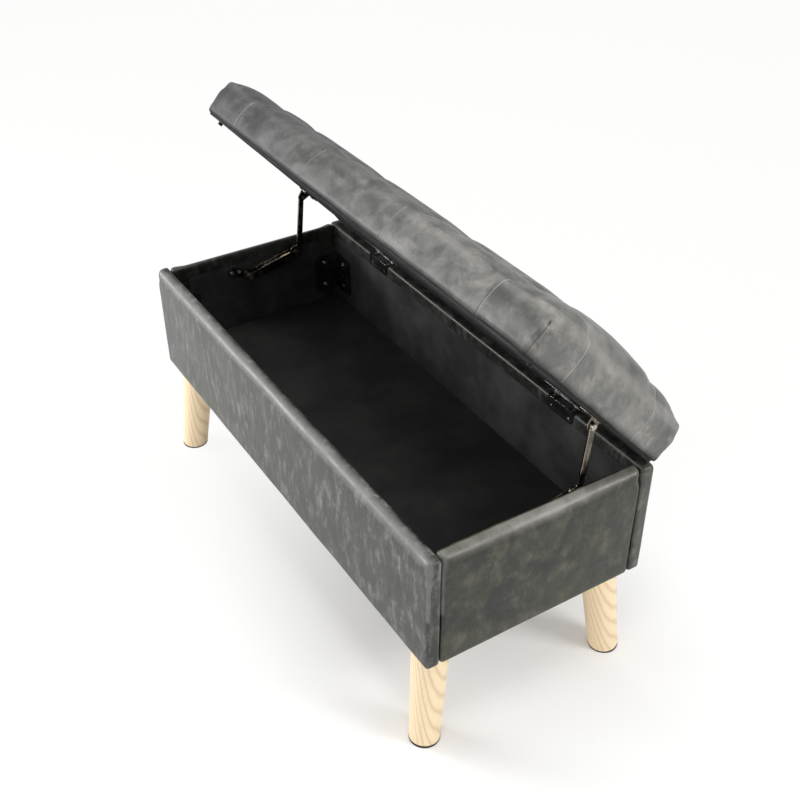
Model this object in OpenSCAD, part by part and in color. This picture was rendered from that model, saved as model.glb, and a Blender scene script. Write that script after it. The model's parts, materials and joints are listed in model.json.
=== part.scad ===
// Storage ottoman: a long upholstered box on four splayed wooden legs, with a
// quilted lid that is hinged at the back and held open by two spring stays.
// +X runs along the length, the front faces -Y, the hinges are at +Y, +Z is up.
// The origin lies on the floor under the centre of the box.

/* [Box] */
// Length of the box over its upholstery
body_l = 900; // [760:10:1200]
// Depth of the box, front to back
body_w = 380; // [370:5:460]
// Height of the four upholstered panels
panel_h = 198; // [185:1:260]
// Height of the panels' underside above the floor
leg_h = 182; // [150:1:240]
// Thickness of the wooden boards in the panels
board_t = 15; // [12:1:18]
// Thickness of padding and leather over the boards
pad_t = 4; // [4:0.5:8]
// Radius of the upholstered edges
edge_r = 8; // [6:0.5:8.5]
// How far the leather is turned over the top edge, down the inside
turn_h = 22; // [22:1:27]
// Gap between an end panel and the panel beside it
seam_gap = 1; // [0.5:0.5:3]

/* [Bottom] */
// Thickness of the bottom board
bottom_t = 9; // [6:1:15]
// Height of the bottom board's top above the panels' underside
bottom_rise = 44; // [40:1:60]
// Side of the square cleats that carry the bottom board
cleat_w = 20; // [15:1:25]
// Side of the square corner blocks that hold the legs
block_w = 74; // [66:1:90]

/* [Legs] */
// Diameter of a leg at its top
leg_top_d = 57; // [46:1:58]
// Diameter of a leg at its foot
leg_foot_d = 47; // [40:1:50]
// Distance of a foot's centre from the end of the box
foot_inset_x = 32; // [26:1:60]
// Distance of a foot's centre from the front or back of the box
foot_inset_y = 19; // [19:1:50]
// How far a leg splays outwards along the length
splay_x = 17; // [0:1:20]
// How far a leg splays outwards to the front or back
splay_y = 20; // [0:1:20]

/* [Lid] */
// Angle to which the lid is open
lid_angle = 47.3; // [0:0.1:47.3]
// How far the lid's front edge stands back from the box's front
lid_setback = 5; // [0:1:15]
// How far the cushion's ends stand out past the box's ends
lid_over = 2; // [0:0.5:5]
// Gap between the panels' top and the closed lid's underside
lid_gap = 5; // [4.5:0.5:8]
// Thickness of the black covered base under the lid's board
lid_base_t = 3; // [2:0.5:4]
// Thickness of the lid's board
lid_board_t = 12; // [9:1:18]
// Height of the cushion's rolled top edge above the lid's base
cushion_side = 61; // [50:1:75]
// Rise of the cushion's crown above its top edge
cushion_crown = 22; // [10:1:28]
// Depth of the sewn channels in the crown
channel_depth = 4.5; // [2:0.5:6]
// Whole squares of the quilting along the length, part squares at the ends
quilt_count = 3; // [2:1:4]

/* [Hinges] */
// Distance of each hinge from the middle of the length
hinge_x = 265; // [120:1:300]
// Width of a hinge
hinge_w = 60; // [50:1:80]
// Thickness of the hinge's sheet steel
leaf_t = 1.5; // [1.2:0.1:1.8]
// Radius of the hinge's pin
pin_r = 1.2; // [1:0.1:1.3]

/* [Stays] */
// Length of a stay's lower link between its pivots
link_len = 101; // [98:0.5:104]
// Length of a stay's upper arm between its pivots
arm_len = 111; // [109:0.5:113]
// Distance from the lid's hinge line to the stay's upper pivot
stay_reach = 120.9; // [119:0.1:123]
// Depth of the stay's upper pivot below the lid's underside
stay_drop = 11.6; // [11.5:0.1:13]
// Turns of a stay's spring
spring_turns = 8; // [6:1:12]
// Radius of the spring's wire
wire_r = 0.65; // [0.5:0.05:0.8]

/* [Hidden] */
$fn = 48;

// Clearances: between pieces that only pass, in a turning pivot, in a tight fit.
clear = 0.1;
run_clear = 0.06;
fit_clear = 0.01;

// Heights and faces of the box.
top_z = leg_h + panel_h;
half_l = body_l / 2;
half_w = body_w / 2;
lining_t = 2;
turn_t = 2.5;
end_inset = 1;
panel_t = pad_t + board_t + turn_t;
in_y = half_w - pad_t - board_t - lining_t;
in_x = half_l - end_inset - pad_t - board_t - lining_t;
turn_y = half_w - panel_t;
turn_x = half_l - end_inset - panel_t;
end_l = 2 * (turn_y - seam_gap);

// Padding under a board and at its ends, the radii of the lower corners of a
// board and of a panel, and how far the recess for the lining runs on inwards.
under_t = 3;
board_in = pad_t + 1;
board_corner = 12;
corner_r = 14;
recess_over = 0.3;

// The bottom board lies loosely between the panels, the linings stand on it.
bottom_z = leg_h + bottom_rise;
bottom_clear = 0.5;
lining_clear = 0.3;
lining_h = top_z - turn_h - bottom_z - lining_clear;

// Heights of the leg's parts.
block_z = leg_h - 1;
glide_h = 2.5;
foot_x = half_l - foot_inset_x;
foot_y = half_w - foot_inset_y;
leg_rise = block_z - glide_h;
splay_dir = atan2(splay_y, splay_x);
splay = atan2(norm([splay_x, splay_y]), leg_rise);
leg_axis_l = leg_rise / cos(splay);
foot_round = 6;
glide_r = leg_foot_d / 2 - foot_round;

// The legs' bolts: how far they reach into the leg and up into the block.
bolt_r = 4;
bolt_in = 40;
bolt_up = 26;
bolt_short = 1;
bore_down = 5;
bore_up = 60;

// The hinge line and the lid's levels, given for the closed lid.
open_max = 47.3;
axis_in = 8;
knuckle_clear = 0.2;
lid_z = top_z + lid_gap;
axis_y = half_w - axis_in;
axis_z = (top_z + lid_z) / 2;
knuckle_r = lid_gap / 2 - knuckle_clear;
lid_back = half_w - 1.5;
lid_front = lid_setback - half_w;
lid_l = body_l + 2 * lid_over;
lid_w = lid_back - lid_front;
lid_y = (lid_back + lid_front) / 2;
board_z = lid_z + lid_base_t;
lid_edge = 7;
base_edge = 3;
board_r = 6;
base_r = 8;
bumper_r = 4;
bumper_in = 40;
bumper_clear = 0.3;

// Corner brackets: the long leg lies on a long panel, the short one on an end.
bracket_t = 2;
bracket_l = 54;
bracket_w = 48;
bracket_h = 76;
bracket_r = 8;
bracket_up = 102;
bracket_z = leg_h + bracket_up;
bracket_screw = 47;
bracket_screw_in = 28;

// Screws: head radius, head height, shank radius and shank length.
wood_screw = [3.8, 1.8, 1.8, 12];
flat_screw = [3.4, 1.4, 1.6, 9];
screw_point = 3;
head_flat = 0.55;
head_rim = 0.35;

// Hinges: the body leaf has two tabs, the lid leaf one tongue between them.
tab_w = 0.22 * hinge_w;
tongue_w = hinge_w - 2 * tab_w - 1;
hinge_drop = 21;
hinge_bevel = 5;
tab_screw_in = 6;
leaf_l = 30;
leaf_in = 12;
lid_leaf_y1 = lid_back - leaf_in;
lid_leaf_y0 = lid_leaf_y1 - leaf_l;
lid_screw_y = lid_leaf_y1 - leaf_l / 2;
tab_screw_y = turn_y + tab_screw_in;
tab_screw_x = 0.39 * hinge_w;
leaf_screw_x = 0.35 * hinge_w;
leaf_screw_drop = 12.5;
lid_screw_x = 0.36 * hinge_w;

// The stay's channel, counted from the line between its two pivots.
stay_x = in_x - 12;
sheet_t = 1.5;
channel_w = 15;
channel_up = 7;
channel_down = 10;
tail_l = 24;
tail_r = 8;
tail_h = 14;
seat_low = 2;
seat_s = 25;

// The stay's fixed plate and its screws, counted from the lower pivot.
plate_t = 2;
plate_r = 9;
plate_tail = [-28, 9];
plate_screws = [[-30, 8], [-15, 6.5]];

// The arm, its cam and its eye, and the bend counted from the elbow.
arm_t = 3.2;
arm_w = 10;
bend_w = 11;
arm_root = [4, -5];
arm_bend = [18, -7];
arm_neck = 6;
tip_r = 5.5;
cam_open = 9.5;
cam_rise = 3;
cam_gap = 0.7;
cam_fall = [-20, -60];

// The plunger, its rod and the rivets.
cap_r = 5;
cap_l = 20;
cap_edge = 1;
rod_r = 1.8;
rod_tail = 6;
rod_clear = 0.3;
rivet_r = 3;
elbow_r = 3.5;
rivet_head = 5.5;
head_t = 2;
washer_t = 1.5;
tip_head = [4.8, 1.8];

// The bracket under the lid and its ear beside the arm's tip.
ear_r = 8;
ear_t = 2;
ear_gap = 0.5;
ear_foot = 11;
bracket_plate = [22, 34];
bracket_screws_at = [13, 11];

// The stay's four pivots as points in the plane that the stay folds in. The
// lowest one is given from the hinge line and from the panels' top.
pivot_reach = 207;
pivot_drop = 46;
axis_yz = [axis_y, axis_z];
pivot = [axis_y - pivot_reach, top_z - pivot_drop];
tip_closed = [axis_y - stay_reach, lid_z - stay_drop];
tip_now = turned(tip_closed, -lid_angle);
link_a = link_angle(tip_now);
elbow = elbow_at(link_a);
arm_a = direction(elbow, tip_now);
tip_open = turned(tip_closed, -open_max);
link_open = link_angle(tip_open);
arm_open = direction(elbow_at(link_open), tip_open);
link_shut = link_angle(tip_closed);
arm_shut = direction(elbow_at(link_shut), tip_closed);
link_swing = link_shut - link_open;
elbow_swing = (arm_shut - link_shut) - (arm_open - link_open);
nose_s = link_len - cam_open - cam_gap;
cap_s = nose_s - cap_l;
web_end = link_len - cam_open - cam_rise - 1.5;

// The spring's centre line: an even helix with a short straight end each way.
spring_r = cap_r - wire_r - 0.2;
spring_end = wire_r + 0.15;
spring_s0 = seat_s + sheet_t + spring_end;
spring_s1 = cap_s - spring_end;
spring_steps = 8;
spring_sides = 6;
spring_n = spring_turns * spring_steps;
spring_pitch = (spring_s1 - spring_s0) / spring_turns;
helix = [for (i = [0:spring_n]) let (a = i * 360 / spring_steps)
  [spring_r * cos(a), spring_s0 + i * spring_pitch / spring_steps, spring_r * sin(a)]];
wire_dir = [0, spring_pitch / (2 * PI * spring_r), 1] / norm([spring_pitch / (2 * PI * spring_r), 1]);
spring_path = concat([helix[0] - 2 * wire_r * wire_dir], helix, [helix[spring_n] + 2 * wire_r * wire_dir]);

// Quilting: whole squares in the middle, part squares at the ends.
quilt_l = 0.7733 * body_l / quilt_count;
quilt_w = 0.521 * body_w;
quilt_x = [for (i = [-quilt_count:2:quilt_count]) i * quilt_l / 2];
quilt_y = [-quilt_w / 2, quilt_w / 2];
cush_x = concat([-lid_l / 2], quilt_x, [lid_l / 2]);
cush_y = concat([-lid_w / 2], quilt_y, [lid_w / 2]);

// The cushion's grid, its rounded plan and its rolled edge, which is drawn in
// further at the back than at the front.
cells_x = 6;
cells_y = 5;
grid_x = concat(spread(cush_x, cells_x), [lid_l / 2]);
grid_y = concat(spread(cush_y, cells_y), [lid_w / 2]);
plan_r = 16;
roll_in = 9;
roll_lean = 0.5;
seam_draw = 1.6;

// Side profile: how far a ring lies inside the plan, and its share of the height.
side_rings = [[3, 0], [0.5, 0.16], [0, 0.42], [0.5, 0.68], [2.5, 0.86], [5.5, 0.97]];

// The border of the grid, walked once round.
nx = len(grid_x) - 1;
ny = len(grid_y) - 1;
border = concat(
  [for (i = [0:nx - 1]) [grid_x[i], -lid_w / 2]],
  [for (j = [0:ny - 1]) [lid_l / 2, grid_y[j]]],
  [for (i = [nx:-1:1]) [grid_x[i], lid_w / 2]],
  [for (j = [ny:-1:1]) [-lid_l / 2, grid_y[j]]]
);

// A point turned about the hinge line, and the direction between two points.
function turned(p, a) = let (q = p - axis_yz)
  axis_yz + [q[0] * cos(a) - q[1] * sin(a), q[0] * sin(a) + q[1] * cos(a)];
function direction(p, q) = atan2(q[1] - p[1], q[0] - p[0]);

// The lower link's angle when the upper pivot is at a given point, and the elbow.
function link_angle(tip) = let (d = norm(tip - pivot))
  direction(pivot, tip) - acos((link_len ^ 2 + d ^ 2 - arm_len ^ 2) / (2 * link_len * d));
function elbow_at(a) = pivot + link_len * [cos(a), sin(a)];

// The least gap between one curl of the spring and the next.
spring_gap = min([for (i = [0:spring_n - spring_steps]) norm(helix[i + spring_steps] - helix[i])])
  - 2 * wire_r;

echo(hinge_line = axis_yz, pivot = pivot, elbow = elbow, tip = tip_now);
echo(link_angle = link_a, arm_angle = arm_a);
echo(link_ratio = link_swing / open_max, elbow_ratio = elbow_swing / open_max);
echo(plunger_ratio_m_per_rad = cam_rise / 1000 / (open_max * PI / 180));
echo(spring_gap = spring_gap);

// Placing helpers.

// Keeps the children on the right, or mirrors them to the left.
module side(s) {
  mirror([s < 0 ? 1 : 0, 0, 0]) children();
}

// Keeps the children at the back, or mirrors them to the front.
module fore(s) {
  mirror([0, s < 0 ? 1 : 0, 0]) children();
}

// A copy in each of the four corners, drawn for the back right one.
module corners() {
  for (sx = [-1, 1], sy = [-1, 1]) side(sx) fore(sy) children();
}

// Moves what is drawn on the closed lid to the lid as it stands.
module on_lid() {
  translate([0, axis_y, axis_z]) rotate([-lid_angle, 0, 0])
    translate([0, -axis_y, -axis_z]) children();
}

// The lower link's own frame: y runs from the pivot to the elbow.
module in_link() {
  translate([stay_x, pivot[0], pivot[1]]) rotate([link_a, 0, 0]) children();
}

// The arm's own frame: y runs from the elbow to the tip.
module in_arm() {
  translate([stay_x, elbow[0], elbow[1]]) rotate([arm_a, 0, 0]) children();
}

// A flat plate drawn in the y-z plane, starting at x0.
module plate_yz(x0, t) {
  translate([x0, 0, 0]) rotate([90, 0, 90]) linear_extrude(t) children();
}

// A cylinder along x between two faces.
module rod_x(x0, x1, r) {
  translate([x0, 0, 0]) rotate([0, 90, 0]) cylinder(h = x1 - x0, r = r);
}

// A box from one corner to the opposite one.
module span(a, b) {
  translate(a) cube(b - a);
}

// A round-headed screw with its head's seat at the origin, driven along -z.
module round_screw(size, grow = 0) {
  rotate_extrude() polygon([
    [0, size[1]], [size[0] * head_flat, size[1]], [size[0], size[1] * head_rim],
    [size[0], 0], [size[2] + grow, 0], [size[2] + grow, -size[3]],
    [size[2] * 0.4, -size[3] - screw_point], [0, -size[3] - screw_point],
  ]);
}

// A countersunk screw with its head flush at the origin, driven along -z.
module sunk_screw(size, grow = 0) {
  rotate_extrude() polygon([
    [0, 0], [size[0] + grow, 0], [size[2] + grow, -size[1]],
    [size[2] + grow, -size[3]], [size[2] * 0.4, -size[3] - screw_point],
    [0, -size[3] - screw_point],
  ]);
}

// Panels.

// A rectangle standing on the x axis, with rounded upper and lower corners.
module round_rect(w, h, top_r, low_r) {
  union() {
    translate([-w / 2, low_r]) square([w, h - low_r - top_r]);
    translate([low_r - w / 2, 0]) square([w - 2 * low_r, h / 2]);
    translate([top_r - w / 2, h / 2]) square([w - 2 * top_r, h / 2]);
    for (s = [-1, 1]) {
      translate([s * (w / 2 - low_r), low_r]) circle(low_r);
      translate([s * (w / 2 - top_r), h - top_r]) circle(top_r);
    }
  }
}

// A padded slab standing along x. Three outlines meet in it: from its end, from
// its broad side, whose lower corners are rounder, and from above.
module soft_slab(l) {
  r = edge_r;
  t = panel_t;
  h = panel_h;
  intersection() {
    plate_yz(-l / 2, l) round_rect(t, h, r, r);
    translate([0, t / 2, 0]) rotate([90, 0, 0]) linear_extrude(t) round_rect(l, h, r, corner_r);
    translate([0, -t / 2, 0]) linear_extrude(h) round_rect(l, t, r, r);
  }
}

// A panel's board seen flat, with its lower corners rounded off further.
module board_outline(l) {
  translate([0, under_t]) round_rect(l, panel_h - pad_t - under_t, board_in, board_corner);
}

// The long panels run the whole length: -1 is the front, 1 is the back.
module long_board_solid(s) {
  fore(s) translate([0, half_w - pad_t, leg_h]) rotate([90, 0, 0]) linear_extrude(board_t)
    board_outline(body_l - 2 * board_in);
}

module long_board(s) {
  color("tan") difference() {
    long_board_solid(s);
    corner_screws(run_clear);
    if (s > 0) hinge_body_driven(run_clear);
  }
}

// The end panels stand between them: -1 is the left end, 1 is the right end.
module end_board_solid(s) {
  side(s) translate([0, 0, leg_h]) plate_yz(turn_x + turn_t, board_t)
    board_outline(end_l - 2 * board_in);
}

module end_board(s) {
  color("tan") difference() {
    end_board_solid(s);
    corner_screws(run_clear);
    stay_plate_driven(run_clear);
  }
}

// A cover is a soft shell round the board, open at the inside below its turn.
module long_cover(s) {
  y = half_w - panel_t / 2;
  color("#50544f") difference() {
    fore(s) translate([0, y, leg_h]) soft_slab(body_l);
    long_board_solid(s);
    fore(s) span([-body_l, in_y - 1, 0], [body_l, in_y + lining_t + recess_over, top_z - turn_h]);
    if (s > 0) hinge_body_driven(run_clear);
  }
}

module end_cover(s) {
  x = turn_x + panel_t / 2;
  color("#50544f") difference() {
    side(s) translate([x, 0, leg_h]) rotate([0, 0, 90]) soft_slab(end_l);
    end_board_solid(s);
    side(s) span([turn_x - 1, -body_w, 0], [in_x + lining_t + recess_over, body_w, top_z - turn_h]);
  }
}

module long_lining(s) {
  color("#202122") difference() {
    fore(s) span([-in_x - lining_t + clear, in_y, bottom_z],
      [in_x + lining_t - clear, in_y + lining_t, bottom_z + lining_h]);
    corner_screws(run_clear);
  }
}

module end_lining(s) {
  color("#202122") difference() {
    side(s) span([in_x, -in_y + clear, bottom_z],
      [in_x + lining_t, in_y - clear, bottom_z + lining_h]);
    corner_screws(run_clear);
    stay_plate_driven(run_clear);
  }
}

// Bottom.

module bottom_board() {
  x = in_x + lining_t - bottom_clear;
  y = in_y + lining_t - bottom_clear;
  color("#1b1b1c") span([-x, -y, bottom_z - bottom_t], [x, y, bottom_z]);
}

// Cleats glued along the boards between the corner blocks.
module bottom_cleats() {
  z = bottom_z - bottom_t;
  x = in_x + lining_t;
  y = in_y + lining_t;
  free = block_w + 1;
  color("tan") {
    for (s = [-1, 1]) fore(s)
      span([-x + free, y - cleat_w, z - cleat_w], [x - free, y, z]);
    for (s = [-1, 1]) side(s)
      span([x - cleat_w, -y + free, z - cleat_w], [x, y - free, z]);
  }
}

// Blocks glued into the corners under the bottom board, bored for the bolts.
module corner_blocks() {
  x = in_x + lining_t;
  y = in_y + lining_t;
  color("tan") corners() difference() {
    span([x - block_w, y - block_w, block_z], [x, y, bottom_z - bottom_t]);
    leg_frame() translate([0, 0, leg_axis_l - bore_down])
      cylinder(h = bore_down + bore_up, r = bolt_r + run_clear);
  }
}

// Corner brackets.

// One leg of a bracket: x runs out from the corner, rounded at its far end.
module bracket_outline(l) {
  r = bracket_r;
  h = bracket_h / 2;
  union() {
    translate([0, -h]) square([l - r, 2 * h]);
    translate([0, r - h]) square([l, 2 * h - 2 * r]);
    for (s = [-1, 1]) translate([l - r, s * (h - r)]) circle(r);
  }
}

module corner_bracket(sx, sy) {
  color("#222222") side(sx) fore(sy) difference() {
    translate([in_x, in_y, bracket_z]) union() {
      mirror([1, 0, 0]) rotate([90, 0, 0]) linear_extrude(bracket_t)
        bracket_outline(bracket_l);
      rotate([90, 0, -90]) linear_extrude(bracket_t) bracket_outline(bracket_w);
    }
    corner_screws_one(run_clear);
  }
}

// The four screws of the back right bracket.
module corner_screws_one(grow = 0) {
  for (s = [-1, 1]) {
    translate([in_x - bracket_screw_in, in_y - bracket_t, bracket_z + s * bracket_screw / 2])
      rotate([90, 0, 0]) round_screw(wood_screw, grow);
    translate([in_x - bracket_t, in_y - bracket_screw_in, bracket_z + s * bracket_screw / 2])
      rotate([0, -90, 0]) round_screw(wood_screw, grow);
  }
}

module corner_screws(grow = 0) {
  corners() corner_screws_one(grow);
}

module bracket_screws() {
  color("#c8c8c4") corner_screws();
}

// Legs.

// The back right leg's axis as z, its foot's centre on the glide as origin.
module leg_frame() {
  translate([foot_x, foot_y, glide_h]) rotate([0, 0, splay_dir]) rotate([0, -splay, 0])
    children();
}

// A turned taper with a rounded foot, sawn flat at both ends and drilled.
module leg(sx, sy) {
  r1 = leg_foot_d / 2;
  r2 = leg_top_d / 2;
  more = r2 * tan(splay) + 1;
  slope = (r2 - r1) / leg_axis_l;
  color("#e3c9a0") side(sx) fore(sy) difference() {
    intersection() {
      leg_frame() rotate_extrude($fn = 96) union() {
        polygon([
          [0, -more], [r1 - foot_round, -more], [r1 - foot_round, 0], [r1, foot_round - more],
          [r2 + slope * more, leg_axis_l + more], [0, leg_axis_l + more],
        ]);
        translate([r1 - foot_round, foot_round - more]) circle(foot_round, $fn = 48);
      }
      span([0, 0, glide_h], [body_l, body_w, block_z]);
    }
    leg_frame() translate([0, 0, leg_axis_l - bolt_in])
      cylinder(h = bolt_in + bore_up, r = bolt_r + run_clear);
  }
}

// Double-ended bolts that hold the legs in the corner blocks.
module leg_bolts() {
  color("silver") corners() leg_frame()
    translate([0, 0, leg_axis_l - bolt_in + bolt_short])
      cylinder(h = bolt_in + bolt_up - bolt_short, r = bolt_r);
}

// Felt discs under the feet.
module foot_glides() {
  color("#3a3634") corners() translate([foot_x, foot_y, 0]) cylinder(h = glide_h, r = glide_r);
}

// Hinges.

// Where the hinge's leaves lie: tabs outside, the lid's tongue between them.
module at_hinge(s) {
  side(s) translate([hinge_x, 0, 0]) children();
}

// The body leaf: a plate down the inside, two tabs over the top, two knuckles.
module hinge_body_leaf(s) {
  w = hinge_w / 2;
  color("#26231f") at_hinge(s) difference() {
    union() {
      translate([0, turn_y, top_z]) rotate([90, 0, 0]) linear_extrude(leaf_t) polygon([
        [-w, leaf_t], [-w, hinge_bevel - hinge_drop], [hinge_bevel - w, -hinge_drop],
        [w - hinge_bevel, -hinge_drop], [w, hinge_bevel - hinge_drop], [w, leaf_t],
      ]);
      for (e = [-1, 1]) translate([e * (w - tab_w / 2) - tab_w / 2, 0, 0]) {
        span([0, turn_y - leaf_t, top_z], [tab_w, axis_y, top_z + leaf_t]);
        translate([0, axis_y, axis_z]) rod_x(0, tab_w, knuckle_r);
      }
    }
    translate([0, axis_y, axis_z]) rod_x(-w - 1, w + 1, pin_r + fit_clear);
    hinge_body_screws_one(run_clear);
  }
}

// The lid leaf: a plate under the lid and one knuckle between the tabs.
module hinge_lid_leaf(s) {
  w = hinge_w / 2;
  k = tongue_w / 2;
  color("#26231f") on_lid() at_hinge(s) difference() {
    union() {
      span([-w, lid_leaf_y0, lid_z - leaf_t], [w, lid_leaf_y1, lid_z]);
      span([-k, lid_leaf_y1 - 1, lid_z - leaf_t], [k, axis_y, lid_z]);
      translate([0, axis_y, axis_z]) rod_x(-k, k, knuckle_r);
    }
    translate([0, axis_y, axis_z]) rod_x(-w - 1, w + 1, pin_r + run_clear);
    hinge_lid_screws_one(run_clear);
  }
}

// The hinge's pins, held fast in the body leaves.
module hinge_pins() {
  color("silver") for (s = [-1, 1]) at_hinge(s)
    translate([0, axis_y, axis_z]) rod_x(-hinge_w / 2 - clear, hinge_w / 2 + clear, pin_r);
}

// A body leaf's screws: one through each tab and two through the plate.
module hinge_body_screws_one(grow = 0) {
  for (e = [-1, 1]) {
    translate([e * tab_screw_x, tab_screw_y, top_z + leaf_t]) sunk_screw(flat_screw, grow);
    translate([e * leaf_screw_x, turn_y - leaf_t, top_z - leaf_screw_drop]) rotate([90, 0, 0])
      sunk_screw(flat_screw, grow);
  }
}

module hinge_body_driven(grow = 0) {
  for (s = [-1, 1]) at_hinge(s) hinge_body_screws_one(grow);
}

module hinge_body_screws() {
  color("#3c3a36") hinge_body_driven();
}

// A lid leaf's screws, driven up into the lid's board.
module hinge_lid_screws_one(grow = 0) {
  for (e = [-1, 1])
    translate([e * lid_screw_x, lid_screw_y, lid_z - leaf_t]) rotate([180, 0, 0])
      sunk_screw(flat_screw, grow);
}

module hinge_lid_driven(grow = 0) {
  for (s = [-1, 1]) at_hinge(s) hinge_lid_screws_one(grow);
}

module hinge_lid_screws() {
  color("#3c3a36") on_lid() hinge_lid_driven();
}

// Stays, drawn for the right end.

// The fixed plate that carries the lower pivot.
module stay_plate(s) {
  color("#2a2622") side(s) difference() {
    plate_yz(in_x - plate_t, plate_t) hull() {
      translate(pivot) circle(plate_r);
      translate(pivot + plate_tail) circle(plate_r);
    }
    translate([0, pivot[0], pivot[1]]) rod_x(0, half_l, rivet_r + fit_clear);
    stay_plate_screws_one(run_clear);
  }
}

module stay_plate_screws_one(grow = 0) {
  for (p = plate_screws)
    translate([in_x - plate_t, pivot[0] + p[0], pivot[1] + p[1]]) rotate([0, -90, 0])
      round_screw(wood_screw, grow);
}

module stay_plate_driven(grow = 0) {
  for (s = [-1, 1]) side(s) stay_plate_screws_one(grow);
}

module stay_plate_screws() {
  color("#5a544c") stay_plate_driven();
}

// The rivet through the plate and the channel's tail, with its spacer.
module stay_pivot_rivet(s) {
  x0 = stay_x - channel_w / 2;
  x1 = stay_x + channel_w / 2;
  color("#6d4a38") side(s) translate([0, pivot[0], pivot[1]]) {
    rod_x(x0 - clear - head_t, x0 - clear, rivet_head);
    rod_x(x0 - 1, in_x, rivet_r);
    rod_x(x1 + clear, in_x - plate_t, rivet_head);
  }
}

// The side of the channel: a low tail at the pivot, a round end at the elbow.
module channel_side() {
  mid = (channel_up - channel_down) / 2;
  r = (channel_up + channel_down) / 2;
  circle(tail_r);
  translate([0, -tail_r]) square([tail_l, tail_h]);
  translate([tail_l, -channel_down]) square([link_len - tail_l, 2 * r]);
  translate([link_len, mid]) circle(r);
}

// The lower link: a channel, open at the top, that holds the spring.
module stay_channel(s) {
  w = channel_w / 2;
  v = w - sheet_t / 2;
  color("#2a2622") side(s) in_link() difference() {
    union() {
      for (x = [-w, w - sheet_t]) plate_yz(x, sheet_t) channel_side();
      span([-v, tail_l, -channel_down], [v, web_end, -channel_down + sheet_t]);
      span([-v, seat_s, -channel_down], [v, seat_s + sheet_t, channel_up - seat_low]);
    }
    rod_x(-w - 1, w + 1, rivet_r + run_clear);
    translate([0, link_len, 0]) rod_x(-w - 1, w + 1, elbow_r + run_clear);
    translate([0, seat_s - 1, 0]) rotate([-90, 0, 0]) cylinder(h = 2 * sheet_t, r = rod_r + rod_clear);
  }
}

// The brass plunger: a cap that rides on the cam and a rod through the spring.
module stay_plunger(s) {
  color("#b08d4a") side(s) in_link() rotate([-90, 0, 0]) rotate_extrude() polygon([
    [0, seat_s - rod_tail], [rod_r, seat_s - rod_tail], [rod_r, cap_s], [cap_r, cap_s],
    [cap_r, nose_s - cap_edge], [cap_r - cap_edge, nose_s], [0, nose_s],
  ]);
}

// A tube with round rings along a path, each ring square to the path.
function tangent(p, i) = let (
  a = p[max(i - 1, 0)], b = p[min(i + 1, len(p) - 1)]) (b - a) / norm(b - a);
function ring(p, i, r, n) = let (
  t = tangent(p, i), u0 = cross(t, [0, 1, 0]), u = u0 / norm(u0), v = cross(t, u))
  [for (k = [0:n - 1]) p[i] + r * (cos(k * 360 / n) * u + sin(k * 360 / n) * v)];

module tube(p, r, n) {
  m = len(p);
  points = [for (i = [0:m - 1]) each ring(p, i, r, n)];
  walls = [for (i = [0:m - 2], k = [0:n - 1]) let (
    a = i * n + k, b = i * n + (k + 1) % n) each [[a, b, b + n], [a, b + n, a + n]]];
  caps = concat(
    [for (k = [1:n - 2]) [0, k + 1, k]],
    [for (k = [1:n - 2]) [(m - 1) * n, (m - 1) * n + k, (m - 1) * n + k + 1]]);
  polyhedron(points = points, faces = concat(walls, caps));
}

module stay_spring(s) {
  color("#d0d0cc") side(s) in_link() tube(spring_path, wire_r, spring_sides);
}

// The cam's edge: its radius grows by cam_rise while the arm folds down.
function cam_r(back) = cam_open + cam_rise * max(0, min(1, back / elbow_swing));

// The cam as a fine outline, in the arm's frame, where "back" is the angle
// turned from the plunger's line at the open stay.
module cam_outline() {
  line = 180 + link_open - arm_open;
  rest = cam_open + cam_rise;
  polygon([for (a = [0:4:356])
    let (back = line - a, b = back > 180 ? back - 360 : back < -180 ? back + 360 : back)
    let (fall = (b - cam_fall[0]) / (cam_fall[1] - cam_fall[0]))
    let (r = fall > 1 ? rest : fall > 0 ? cam_open + cam_rise * fall : cam_r(b))
    r * [cos(a), sin(a)]]);
}

// The arm: a flat cranked plate with its cam at the elbow, an eye at the tip.
module stay_arm(s) {
  color("#2e2a26") side(s) in_arm() difference() {
    plate_yz(-arm_t / 2, arm_t) union() {
      cam_outline();
      hull() {
        translate(arm_root) circle(bend_w / 2, $fn = 32);
        translate(arm_bend) circle(bend_w / 2, $fn = 32);
      }
      hull() {
        translate(arm_bend) circle(bend_w / 2, $fn = 32);
        translate([arm_len - arm_neck, 0]) circle(arm_w / 2, $fn = 32);
      }
      translate([arm_len, 0]) circle(tip_r);
    }
    rod_x(-arm_t, arm_t, elbow_r + fit_clear);
    translate([0, arm_len, 0]) rod_x(-arm_t, arm_t, rivet_r + fit_clear);
  }
}

// The rivet at the elbow, fast in the arm, with a spacer on each side of it.
module stay_elbow_rivet(s) {
  w = channel_w / 2;
  out = w + clear + washer_t;
  color("#6d655c") side(s) in_arm() {
    rod_x(-out, out, elbow_r);
    for (m = [0, 1]) mirror([m, 0, 0]) {
      rod_x(w + clear, out, rivet_head);
      rod_x(arm_t / 2, w - sheet_t - clear, rivet_head);
    }
  }
}

// The rivet at the tip. Its shank ends flush with the arm's inner face, just
// short of the lid bracket's ear.
module stay_tip_rivet(s) {
  color("#8a6f55") side(s) in_arm() translate([0, arm_len, 0]) {
    rod_x(-arm_t / 2, arm_t / 2 + 1, rivet_r);
    rod_x(arm_t / 2, arm_t / 2 + tip_head[1], tip_head[0]);
  }
}

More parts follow.
